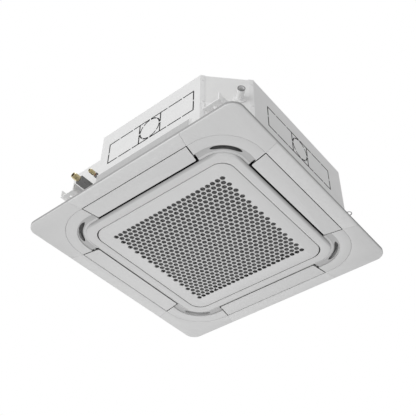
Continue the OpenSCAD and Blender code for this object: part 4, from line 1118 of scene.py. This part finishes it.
    def _cover_outline(self, gap: float, rim: float, radius: float) -> list[Point2]:
        """Return the outline of the cover at the +X, +Y corner.

        Args:
            gap: How far the outline is moved inwards at the seams.
            rim: Distance of the outer edge from the centre.
            radius: Radius of the outer corner.

        Returns:
            The outline's points.
        """
        ring, beside = self.ring + gap, self._seam(self.louvre_out) + gap
        return [(rim, self._seam(rim) + gap), *arc(rim - radius, rim - radius, radius, 0.0, QUARTER, 12),
                (self._seam(rim) + gap, rim), (beside, self.centre + ring),
                *arc(self.centre, self.centre, ring, QUARTER, 0.0, self.arc_steps),
                (self.centre + ring, beside)]

    def _cover(self) -> Form:
        """Build the flush cover of the +X, +Y corner: its soft outer edge, rim wall and face.

        Returns:
            The cover.
        """
        form = Form()
        middle, edge, gap = self.half - self.corner, self._edge(), self.cover_gap
        profile = edge + [(edge[-1][0], self.rim_wall - self.depth),
                          (edge[0][0] - self.rim_wall, -self.gasket)]
        rows = [[at(x, self._seam(x) + gap, h) for x, h in profile]]
        for a in (k / self.corner_steps * QUARTER for k in range(self.corner_steps + 1)):
            rows.append([at(middle + (x - middle) * cos(a), middle + (x - middle) * sin(a), h)
                         for x, h in profile])
        rows.append([at(self._seam(x) + gap, x, h) for x, h in profile])
        form.grid(rows, close_columns=True)
        soft = self.cover_edge
        outline = self._cover_outline(gap, self.half - self.band + soft, self.corner - self.band + soft)
        form.mesh(plate([outline], -self.depth, -self.depth + self.skin + 0.2, soft, 2))
        return form

    def _seam_shade(self) -> Form:
        """Build the dark sheets under the covers' seams, painted shade in the narrow seams.

        Returns:
            The sheets.
        """
        form = Form()
        inset = self.seam_shade_inset
        for side in Side:
            outline = self._cover_outline(-self.seam_shade_over, self.half - inset, self.corner - inset)
            form.cap([side.turn() @ at(x, y, self.seam_shade_h) for x, y in outline])
        return form

    def _tray(self) -> Form:
        """Build the back of the tray: pockets over the covers, stiffening ribs and bosses.

        Returns:
            The tray's back.
        """
        form = Form()
        inset = self.pocket_inset
        for turn in (side.turn() for side in Side):
            outline = self._cover_outline(-self.pocket_over, self.half - inset, self.corner - inset)
            form.mesh(plate([outline], *self.pocket, 0.3, 1), turn)
            stiffeners(form, *self.ribs, *self.rib_h, turn)
            lathe(form, self.boss_profile, turn @ Matrix.Translation(at(self.boss, self.boss, 0.0)), 32)
        return form

    def _walls(self) -> Form:
        """Build the tall wall round the air outlets and the deck with its four cut-outs.

        Returns:
            The wall and the deck.
        """
        form = Form()
        out = self.centre + self.ring + self.louvre_gap
        radius = out - self.centre
        wide, round_out = out + self.skin, radius + self.skin
        loft_squares(form, [(out, radius, self.wall_low), (wide, round_out, self.wall_low),
                            (wide, round_out, self.deck), (out, radius, self.deck)])
        loops: list[list[Point2]] = [rounded_square(out + 1, radius + 1)]
        loops.append(rounded_square(*self.deck_hole)[::-1])
        for side in Side:
            low = self.pipe_outlet_low if side is Side.LEFT else -self.outlet_half
            near, far = self.outlet
            box = [(near, low), (near, self.outlet_half), (far, self.outlet_half), (far, low)]
            loops.append([tuple((side.turn() @ Vector((x, y, 0)))[:2]) for x, y in box])
        form.mesh(plate(loops, self.deck - self.skin, self.deck, 0.3, 1))
        return form


@dataclass
class Vanes(Builder):
    """The four air vanes, each with its ribs, lugs and pivot pins.

    Lengths are in millimetres from the unit's middle, and heights from the ceiling line.
    """

    outer: float = 418.6
    inner: float = 352.0
    end_out: float = 235.8
    end_in: float = 223.8
    face: float = -14.0
    thick: float = 3.0
    layer_inset: float = 4.0
    layer_lift: float = 0.8
    rib_places: Point2 = (359.0, 413.0)
    rib_half: float = 218.0
    lug: Point2 = (221.0, 224.0)
    lug_places: Point2 = (367.0, 377.0)
    pivot: Point2 = (372.0, -4.0)
    pin_r: float = 3.0
    boss_r: float = 5.0
    pin_ends: dict[int, float] = field(default_factory=lambda: {-1: 240.0, 1: 247.0})

    def build(self) -> None:
        """Build one vane on each side."""
        for k, side in enumerate(Side, 1):
            piece = self._blade().piece(f"vane_blade_{k}", self.finish(VANE), turn=side.turn())
            self.settle(piece, f"vane_{k}", "louvre_plastic", f"louvre_{k}")

    def _blade(self) -> Form:
        """Build the vane of the +X side.

        Returns:
            The vane.
        """
        form = Form()
        form.mesh(plate([self._outline(0.0)], self.face, self.face + self.thick / 2, 0.5, 3))
        form.mesh(plate([self._outline(self.layer_inset)], self.face + self.layer_lift,
                        self.face + self.thick, 0.5, 2))
        for x in self.rib_places:
            soft_box(form, (x - 1, -self.rib_half, self.face + 2), (x + 1, self.rib_half, self.face + 8), 0.3)
        start, stop = self.lug
        for sign, tip in self.pin_ends.items():
            low, high = span(sign, start, stop)
            soft_box(form, (self.lug_places[0], low, self.face + 2),
                     (self.lug_places[1], high, self.pivot[1] + 2), 0.4)
            base = axis_at(at(self.pivot[0], 0, self.pivot[1]), (0, sign, 0))
            lathe(form, [(0, start), (self.boss_r, start), (self.boss_r, stop), (self.pin_r, stop),
                         (self.pin_r, tip), (0, tip)], base, closed=False)
        return form

    def _outline(self, inset: float) -> list[Point2]:
        """Return the blade's outline with small rounded corners.

        Args:
            inset: How far the outline is moved inwards.

        Returns:
            The outline's points.
        """
        inner, outer = self.inner + inset, self.outer - inset
        end_in, end_out = self.end_in - inset, self.end_out - inset
        corners = [(inner, -end_in), (outer, -end_out), (outer, end_out), (inner, end_in)]
        return round_corners(corners, [5.0, 1.5, 1.5, 5.0])


@dataclass
class IntakeGrille(Builder):
    """The hinged grille with its holes, the frame round it, the filter and the catches.

    Lengths are in millimetres from the unit's middle, and heights from the ceiling line.
    """

    half: float = 304.5
    corner: float = 54.0
    face: float = -20.0
    skin: float = 2.5
    upstand: float = 11.0
    catch_gap: float = 12.0
    hinge_gap: float = 16.0
    hole: float = 9.2
    hole_steps: int = 24
    pitch: float = 21.3
    columns: int = 27
    rows: int = 24
    latch: Point2 = (241.0, 160.0)
    slot: Point3 = (238.0, 16.0, 10.0)
    web: float = 0.8
    guide: float = 12.3
    guide_reach: Point2 = (249.0, 276.0)
    keeper: Point2 = (254.0, 256.0)
    keeper_half: float = 262.0
    hinge: Point3 = (-278.5, 180.0, -16.5)
    hinge_half: float = 4.0
    ear: float = 2.2
    arm: Point2 = (10.8, 13.7)
    arm_end: float = -312.0
    arm_post: Point2 = (-314.0, -311.0)
    arm_foot: float = -17.4
    gap: Point2 = (306.5, 312.5)
    gap_h: Point2 = (-17.6, -3.1)
    outlet_shade: Point2 = (345.0, 345.6)
    outlet_shade_half: float = 229.0
    outlet_shade_h: Point2 = (-14.0, 14.9)
    ribs: Point2 = (312.0, 339.0)
    rib_h: Point2 = (-18.0, -3.2)
    filter_half: float = 262.0
    filter_h: Point2 = (-14.5, -8.5)
    filter_cells: int = 4
    filter_span: float = 510.0
    filter_bar: float = 8.0
    net_half: float = 256.0
    net_h: Point2 = (-12.0, -11.4)
    # Boxes of a catch: its ends along X, its half width, its low and high side and its bevel.
    slide: tuple[float, ...] = (231.0, 310.0, 11.0, -17.2, -15.0, 0.4)
    knob: tuple[float, ...] = (237.0, 245.0, 4.0, -21.2, -16.5, 0.5)
    tab: tuple[float, ...] = (237.4, 244.6, 8.5, -21.1, -20.25, 0.3)
    grip: tuple[float, ...] = (238.0, 239.2, 7.6, -21.5, -21.0, 0.2)
    grip_pitch: float = 2.4
    grips: int = 3
    # Half width, corner radius and height of each ring round the inner frame.
    surround: tuple[Point3, ...] = (
        (345.2, 85.2, 15.0), (345.2, 85.2, -14.2), (344.9, 84.9, -15.6), (344.0, 84.0, -17.0),
        (342.4, 82.4, -18.3), (340.2, 80.2, -19.3), (337.6, 77.6, -19.9), (334.6, 74.6, -20.0),
        (308.2, 53.2, -20.0), (307.3, 52.3, -19.7), (307.0, 52.0, -19.1), (307.0, 52.0, -17.5),
        (311.0, 52.0, -17.5), (311.0, 52.0, -3.0), (314.0, 55.0, -3.0), (314.0, 55.0, -17.5),
        (334.0, 74.0, -17.5), (341.0, 81.0, -14.0), (343.0, 83.0, -10.0), (343.0, 83.0, 15.0))

    def build(self) -> None:
        """Build the frame, the grille, the filter and the catches."""
        dark, net = self.finish(SHADE), self.finish(NET)
        # Painted shade: the frame darkens towards the outlets, and its faces in the gap round the grille are
        # black.
        moulding = self._surround().piece("inner_frame_moulding", self.finish(FRAME), 40, second=dark,
                                          chosen=self._in_gap)
        self.settle(moulding, "unit", "panel_plastic", "inner_frame")
        # A black sheet of painted shade in the outlets.
        self.settle(self._outlet_shade().piece("outlet_painted_shade", dark), "unit", "panel_plastic", "inner_frame")
        grille = self._plate().piece("grille_plate", self.finish(GRILLE), 35)
        self.settle(grille, "grille", "grille_plastic", "intake_grille")
        self.settle(self._filter_frame().piece("filter_frame", net), "grille", "filter_mesh", "air_filter")
        sheet = Form()
        sheet.mesh(plate([rounded_square(self.net_half, 4.0, 4)], *self.net_h, 0.1, 1))
        self.settle(sheet.piece("filter_net_sheet", net), "grille", "filter_mesh", "air_filter")
        for k, sign in enumerate((1, -1), 1):
            catch = self._catch(sign).piece(f"catch_slide_{k}", self.finish(CATCH))
            self.settle(catch, f"catch_{k}", "catch_plastic", f"grille_latch_{k}")

    def _in_gap(self, centre: Vector) -> bool:
        """Say whether a face lies in the gap round the grille, where the shade is painted black."""
        return self.gap[0] < reach(centre) < self.gap[1] and self.gap_h[0] < height(centre) < self.gap_h[1]

    def _outlet_shade(self) -> Form:
        """Build the dark sheet of painted shade in the outlets on the frame's side.

        Returns:
            The lining.
        """
        form = Form()
        for side in Side:
            low, high = zip(self.outlet_shade, (-self.outlet_shade_half, self.outlet_shade_half), self.outlet_shade_h)
            soft_box(form, low, high, 0.1, side.turn())
        return form

    def hole_centres(self) -> list[Point2]:
        """Place the holes in staggered columns, without those that would break into a knob's slot.

        Returns:
            The holes' centres.
        """
        made = []
        last = (self.columns - 1) // 2
        middle, long, wide = self.slot
        for c in range(-last, last + 1):
            count = self.rows - (last - abs(c)) % 2
            x = c * self.pitch * sqrt(3) / 2
            for y in ((k - (count - 1) / 2) * self.pitch for k in range(count)):
                aside = hypot(max(0.0, abs(x - middle) - long / 2),
                              max(0.0, abs(abs(y) - self.latch[1]) - wide / 2))
                if aside > self.hole + self.web:
                    made.append((x, y))
        return made

    def _plate(self) -> Form:
        """Build the perforated plate with its rim, slots for the knobs and hinge lugs.

        Returns:
            The grille.
        """
        form = Form()
        top = self.face + self.skin
        loops = [rounded_square(self.half - 2.0, self.corner - 2.0, 20)]
        turns = [-2 * pi * k / self.hole_steps for k in range(self.hole_steps)]
        loops += [[(x + self.hole * cos(a), y + self.hole * sin(a)) for a in turns]
                  for x, y in self.hole_centres()]
        middle, long, wide = self.slot
        for y in (-self.latch[1], self.latch[1]):
            loops.append(oblong((middle - long / 2, middle + long / 2), (y - wide / 2, y + wide / 2)))
        flat = plate(loops, self.face, top, 0.3, 2)
        hx, hy, hh = self.hinge
        eye, end = hy + self.hinge_half + 0.3, hy + 2 * self.hinge_half + 0.3
        for sign in (-1, 1):
            low, high = span(sign, hy - self.hinge_half - 0.4, eye)
            sink(flat, (hx - 2.9, low, hx + 2.9, high), top, self.face + 1.0)
        form.mesh(flat)
        self._rim(form)
        for sign in (-1, 1):
            low, high = span(sign, eye, end)
            soft_box(form, (hx - self.ear, low, top - 0.2), (hx + self.ear, high, hh + 0.1), 0.3)
            start = hy - self.hinge_half
            lathe(form, [(0, start), (1.2, start), (1.2, eye), (self.ear, eye), (self.ear, end), (0, end)],
                  axis_at(at(hx, 0, hh), (0, sign, 0)), closed=False)
            low, high = span(sign, *self.keeper)
            soft_box(form, (-self.keeper_half, low, top - 0.2), (self.keeper_half, high, top + 3.0), 0.3)
            for lean in (-self.guide, self.guide):
                y = sign * self.latch[1] + lean
                soft_box(form, (self.guide_reach[0], y - 1.0, top - 0.2),
                         (self.guide_reach[1], y + 1.0, top + 3.0), 0.3)
        return form

    def _rim(self, form: Form) -> None:
        """Add the rounded edge of the plate and the upstand behind it, open at the hinges and catches.

        Args:
            form: Where the faces go.
        """
        steps = [(2.2, 0.02), (1.2, 0.3), (0.4, 1.1), (0.0, 2.0), (0.0, self.skin), (2.2, self.skin)]
        rings = shrunk(self.half, self.corner, [(step, self.face + h) for step, h in steps])
        loft_squares(form, rings, 20)
        straight = self.half - self.corner
        catch, hinge = self.latch[1] - self.catch_gap, self.hinge[1] - self.hinge_gap
        corner = arc(straight, straight, self.corner, 0.0, QUARTER, 20)
        around = [(self.half, catch + 2 * self.catch_gap), *corner, *((-x, y) for x, y in corner[::-1]),
                  (-self.half, hinge + 2 * self.hinge_gap)]
        for path in ([(self.half, -catch), (self.half, catch)], around, [(x, -y) for x, y in around],
                     [(-self.half, hinge), (-self.half, -hinge)]):
            self._upstand(form, path)

    def _upstand(self, form: Form, path: Sequence[Point2]) -> None:
        """Add a thin standing wall along a path on the plate's rim.

        Args:
            form: Where the faces go.
            path: Points on the wall's outer face, in millimetres.
        """
        low, top, rows = self.face + self.skin - 0.2, self.face + self.upstand, []
        for x, y in path:
            out = Vector([max(abs(v) - self.half + self.corner, 0.0) * (1 if v > 0 else -1) for v in (x, y)])
            inward = out.normalized() * 2.0
            rows.append([at(x, y, low), at(x, y, top), at(x - inward.x, y - inward.y, top),
                         at(x - inward.x, y - inward.y, low)])
        form.bar(rows)

    def _surround(self) -> Form:
        """Build the raised frame between the outlets and the grille.

        Returns:
            The frame.
        """
        form = Form()
        loft_squares(form, self.surround, 20)
        for side in Side:
            stiffeners(form, *self.ribs, *self.rib_h, side.turn())
        hx, hy, hh = self.hinge
        start, stop, (arm_low, arm_high) = hy - self.hinge_half, hy + self.hinge_half, self.arm
        for sign in (-1, 1):
            low, high = span(sign, start, stop)
            lathe(form, [(1.25, start), (self.ear, start), (self.ear, stop), (1.25, stop)],
                  axis_at(at(hx, 0, hh), (0, sign, 0)))
            soft_box(form, (hx - 0.7, low, hh + 1.5), (hx + self.ear, high, arm_high), 0.3)
            soft_box(form, (self.arm_end, low, arm_low), (hx + self.ear, high, arm_high), 0.3)
            soft_box(form, (self.arm_post[0], low, self.arm_foot), (self.arm_post[1], high, arm_high), 0.3)
        return form

    def _filter_frame(self) -> Form:
        """Build the filter's frame with its cross bars.

        Returns:
            The frame.
        """
        form = Form()
        cell = self.filter_span / self.filter_cells
        half, middle = (cell - self.filter_bar) / 2, (self.filter_cells - 1) / 2
        places = [(k - middle) * cell for k in range(self.filter_cells)]
        loops: list[list[Point2]] = [rounded_square(self.filter_half, 3.0, 4)]
        loops += [oblong((x - half, x + half), (y - half, y + half)) for x in places for y in places]
        form.mesh(plate(loops, *self.filter_h, 0.5, 1))
        return form

    def _catch(self, sign: int) -> Form:
        """Return one sliding catch with its ribbed knob.

        Args:
            sign: The side of the middle that it is on.

        Returns:
            The catch.
        """
        form = Form()
        y = sign * self.latch[1]
        boxes = [self.slide, self.knob, self.tab]
        steps = [k * self.grip_pitch for k in range(self.grips)]
        boxes += [(self.grip[0] + step, self.grip[1] + step, *self.grip[2:]) for step in steps]
        for start, stop, half, low, high, edge in boxes:
            soft_box(form, (start, y - half, low), (stop, y + half, high), edge)
        return form


@dataclass
class CarriedNodes(Builder):
    """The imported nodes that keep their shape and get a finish."""

    finishes: dict[str, Finish] = field(default_factory=lambda: {
        "panel_plastic": PANEL, "louvre_plastic": VANE, "grille_plastic": GRILLE, "catch_plastic": CATCH,
        "filter_mesh": BLACK, "galvanised_sheet": SHEET, "corner_sheet": LIT_CORNER, "bracket_steel": BRACKET,
        "screw_steel": SCREW, "wire_steel": WIRE, "foam_white": FOAM, "seal_foam": SEAL,
        "black_plastic": BLACK, "fan_plastic": FAN, "shaft_steel": SHAFT, "motor_paint": MOTOR,
        "bush_rubber": RUBBER, "fin_aluminium": FINS, "copper": COPPER, "brass": BRASS,
        "pipe_insulation": WRAP, "white_plastic": MOULDING, "board_green": BOARD, "block_cream": BLOCK,
        "gland_black": RUBBER})

    def build(self) -> None:
        """Dress every node in the finish of its slot."""
        slots = {row["node"]: row["material_slot"] for row in frame["record"]["subparts"]}
        for name, node in frame["nodes"].items():
            node.data.materials.clear()
            node.data.materials.append(self.finish(self.finishes[slots[name]]))
        log.info("%d nodes dressed", len(frame["nodes"]))


@dataclass
class CasingDetails(Builder):
    """The dark lines and sheets painted as the shade in the knock-outs' slits, the skirt's band of painted
    shade and the ring of painted shade at the drain's mouth.

    Lengths are in millimetres from the unit's middle, and heights from the ceiling line.
    """

    face: float = 424.0
    length: float = 399.0
    height: float = 100.0
    level: float = 193.0
    margin: float = 6.0
    sheet: Point2 = (2.0, 1.5)
    slit: float = 2.0
    line: float = 5.0
    line_t: float = 0.15
    bridge: float = 8.5
    spacing: float = 66.0
    bridges: tuple[float, ...] = (-2.25, -1.25, 0.0, 1.25, 2.25)
    ring_parts: int = 8
    fields: tuple[tuple[Side, float], ...] = ((Side.LEFT, 67.0), (Side.NEAR, -14.0))
    # The grey band of painted shade on the casing just above the panel.
    skirt: tuple[Point3, Point3] = ((-430.6, -253.5, 23.0), (-430.05, 172.0, 99.0))
    drain_r: float = 13.0
    drain_bore: float = 10.0

    def build(self) -> None:
        """Build the dark lines of each field of knock-outs, the skirt's band and the ring at the drain's
        mouth, all painted shade.
        """
        dark = self.finish(SHADE)
        for side, along in self.fields:
            # Black lines and sheet: painted shade for the knock-outs' slits.
            lines = self._lines(side, along).piece(f"knockout_shade_lines_{side.name.lower()}", dark)
            self.settle(lines, "unit", "galvanised_sheet")
        # A grey band of painted shade on the casing above the panel.
        band = Form()
        soft_box(band, *self.skirt, 0.2)
        self.settle(band.piece("skirt_shade_band", self.finish(SKIRT_SHADE)), "unit", "galvanised_sheet")
        # A grey ring of painted shade at the drain's mouth.
        self.settle(self._mouth_shade_ring().piece("drain_mouth_shade_ring", self.finish(MOUTH_SHADE)), "unit", "white_plastic")

    def _lines(self, side: Side, along: float) -> Form:
        """Build the dark lines of one field of knock-outs and the dark sheet behind them, painted shade for
        the slits.

        Args:
            side: The side of the casing.
            along: How far along the side the field's middle lies.

        Returns:
            The lines and the sheet.
        """
        form = Form()
        long, high = self.length / 2 + self.margin, self.height / 2 + self.margin
        deep, shallow = (self.face - depth for depth in self.sheet)
        soft_box(form, (deep, along - long, self.level - high),
                 (shallow, along + long, self.level + high), 0.1, side.turn())
        out = (side.turn() @ Vector((1, 0, 0))) * self.line_t * MM
        for run in self._runs():
            self._strip(form, [side.turn() @ at(self.face, along + u, self.level + v) for u, v in run], out)
        return form

    def _mouth_shade_ring(self) -> Form:
        """Build the grey ring round the drain's mouth, painted shade at the mouth's edge.

        Returns:
            The collar.
        """
        form = Form()
        low, high = (Vector(corner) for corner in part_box("drain_socket"))
        aside = self.drain_r * MM / sqrt(2)
        mouth = Vector((low.x + aside, low.y + aside, (low.z + high.z) / 2))
        out, bore = self.drain_r + 0.4, self.drain_bore + 0.1
        lathe(form, [(self.drain_r - 0.2, -4.0), (out, -3.6), (out, 0.0), (out - 0.5, 0.4), (bore + 0.5, 0.4),
                     (bore, 0.0), (bore, -1.0)], axis_at(mouth, (-1, -1, 0)), 40)
        return form

    def _runs(self) -> list[list[Point2]]:
        """Lay out the lines between the bridges.

        Returns:
            The points of each line, along and up the side from the field's middle.
        """
        long, high, runs = (self.length - self.slit) / 2, (self.height - self.slit) / 2, []
        ends = [b * self.spacing + s * self.bridge / 2 for b in self.bridges for s in (-1, 1)]
        stops = [-long, *ends, long]
        for v in (-high, high):
            runs += [[(a, v), (b, v)] for a, b in zip(stops[::2], stops[1::2])]
        for u in (-long, long, -high, high):
            runs += [[(u, s * self.bridge / 2), (u, s * high)] for s in (-1, 1)]
        ring = self.height / 2 - 2.5 * self.slit
        spare, part = self.bridge / 2 / ring, 2 * pi / self.ring_parts
        runs += [arc(0.0, 0.0, ring, k * part + spare, (k + 1) * part - spare, 8)
                 for k in range(self.ring_parts)]
        return runs

    def _strip(self, form: Form, path: Sequence[Vector], out: Vector) -> None:
        """Add a flat line along a path on a side.

        Args:
            form: Where the faces go.
            path: The line's middle, in metres.
            out: The way out of the side, as long as the line is thick.
        """
        rows = []
        for k, point in enumerate(path):
            ahead = (path[min(k + 1, len(path) - 1)] - path[max(k - 1, 0)]).normalized()
            half = ahead.cross(out).normalized() * self.line / 2 * MM
            point = point + ahead * (self.line - self.slit) / 2 * MM * ((k == len(path) - 1) - (k == 0))
            rows.append([point + half, point + half + out, point - half + out, point - half])
        form.bar(rows)


# STAGE


WHITE = (1.0, 1.0, 1.0, 1.0)


@dataclass(frozen=True)
class Lamp:
    """A soft round lamp: its name, place, width and power in watts."""

    name: str
    place: Point3
    size: float
    power: float


@dataclass
class Stage:
    """Camera, floor and plain soft light, with lengths in metres and angles in degrees."""

    eye: Point3 = (-1.554, -1.247, -1.794)
    azimuth: float = 51.02
    elevation: float = 42.6
    roll: float = 0.47
    focal_px: float = 702.6
    frame_px: float = 416.0
    sensor: float = 36.0
    clip: Point2 = (0.01, 50.0)
    floor_h: float = -2.6
    floor_half: float = 9.0
    floor_steps: int = 12
    floor_tone: float = 0.86
    floor_roughness: float = 0.9
    floor_glow: float = 0.45
    daylight: float = 0.465
    lamps: tuple[Lamp, ...] = (
        Lamp("key_left", (-3.3, 0.2, -0.4), 3.0, 46.0), Lamp("fill_below", (-0.7, -0.9, -2.4), 2.6, 12.5),
        Lamp("near_corner", (-2.6, -2.6, 0.5), 1.6, 3.5), Lamp("fill_far", (1.6, 1.6, -2.3), 2.4, 27.0),
        Lamp("top", (0.5, 0.5, 3.2), 3.0, 40.0))

    def build(self) -> None:
        """Set up everything that isn't the object."""
        bpy.context.scene.view_settings.view_transform = "Standard"
        self._camera()
        self._world()
        self._floor()
        for lamp in self.lamps:
            self._light(lamp)

    def _camera(self) -> None:
        """Place the camera at the photograph's point of view."""
        data = bpy.data.cameras.new("view")
        data.sensor_width = self.sensor
        data.lens = self.focal_px / self.frame_px * data.sensor_width
        data.clip_start, data.clip_end = self.clip
        camera = bpy.data.objects.new("view", data)
        az, el, roll = radians(self.azimuth), radians(self.elevation), radians(self.roll)
        ahead = Vector((sin(az) * cos(el), cos(az) * cos(el), sin(el)))
        right = ahead.cross(Vector((0, 0, 1))).normalized()
        up = right.cross(ahead)
        right, up = right * cos(roll) + up * sin(roll), up * cos(roll) - right * sin(roll)
        camera.matrix_world = Matrix.Translation(self.eye) @ Matrix((right, up, -ahead)).transposed().to_4x4()
        bpy.context.scene.collection.objects.link(camera)
        bpy.context.scene.camera = camera

    @staticmethod
    def _seen(graph: Graph) -> Socket:
        """Tell the rays that see the white background from those that only carry light.

        Args:
            graph: The world's or the floor's graph.

        Returns:
            One for a ray from the camera, a gloss or a glass.
        """
        rays = graph.add("ShaderNodeLightPath").outputs
        seen = rays["Is Camera Ray"]
        for name in ("Is Glossy Ray", "Is Transmission Ray"):
            seen = graph.math("MAXIMUM", seen, rays[name])
        return seen

    def _world(self) -> None:
        """Light evenly all round, and show plain white to the camera and in reflections."""
        world = bpy.data.worlds.new("studio")
        bpy.context.scene.world = world
        world.use_nodes = True
        graph = Graph(world.node_tree)
        light = graph.tree.nodes["Background"]
        light.inputs["Color"].default_value = WHITE
        light.inputs["Strength"].default_value = self.daylight
        white = graph.add("ShaderNodeBackground", {"Color": WHITE})
        shaders = {0: self._seen(graph), 1: light.outputs[0], 2: white.outputs[0]}
        both = graph.add("ShaderNodeMixShader", shaders)
        graph.tree.links.new(both.outputs[0], graph.tree.nodes["World Output"].inputs["Surface"])

    def _floor(self) -> None:
        """Lay a pale floor far under the unit, which keeps the unit's shadow."""
        form = Form()
        steps = [self.floor_half * (2 * k / self.floor_steps - 1) for k in range(self.floor_steps + 1)]
        form.grid([[Vector((x, y, self.floor_h)) for x in steps] for y in steps])
        pale = bpy.data.materials.new("pale_floor")
        pale.use_nodes = True
        graph = Graph(pale.node_tree)
        shader = next(n for n in graph.tree.nodes if n.type == "BSDF_PRINCIPLED")
        shader.inputs["Base Color"].default_value = (*grey(self.floor_tone), 1.0)
        shader.inputs["Roughness"].default_value = self.floor_roughness
        glow, none = (graph.add("ShaderNodeEmission", {"Strength": strength}).outputs[0]
                      for strength in (self.floor_glow, 0.0))
        seen = graph.add("ShaderNodeMixShader", {0: self._seen(graph), 1: none, 2: glow})
        both = graph.add("ShaderNodeAddShader", {0: shader.outputs[0], 1: seen.outputs[0]})
        graph.tree.links.new(both.outputs[0], graph.tree.nodes["Material Output"].inputs["Surface"])
        form.piece("floor", pale)

    @staticmethod
    def _light(lamp: Lamp) -> None:
        """Add a lamp aimed at the unit.

        Args:
            lamp: What it is like.
        """
        data = bpy.data.lights.new(lamp.name, "AREA")
        data.shape, data.size, data.energy = "DISK", lamp.size, lamp.power
        made = bpy.data.objects.new(lamp.name, data)
        made.location = lamp.place
        made.rotation_mode = "QUATERNION"
        made.rotation_quaternion = (Vector((0, 0, 0)) - Vector(lamp.place)).to_track_quat("-Z", "Y")
        made.visible_camera = False
        bpy.context.scene.collection.objects.link(made)


def main() -> None:
    """Build the stage and every piece."""
    logging.basicConfig(level=logging.INFO, format="%(name)s: %(message)s")
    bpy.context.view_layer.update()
    Stage().build()
    kit = ShaderKit()
    for builder in (CarriedNodes, DecorationPanel, Vanes, IntakeGrille, CasingDetails):
        builder(kit).build()


if __name__ == "__main__":
    main()
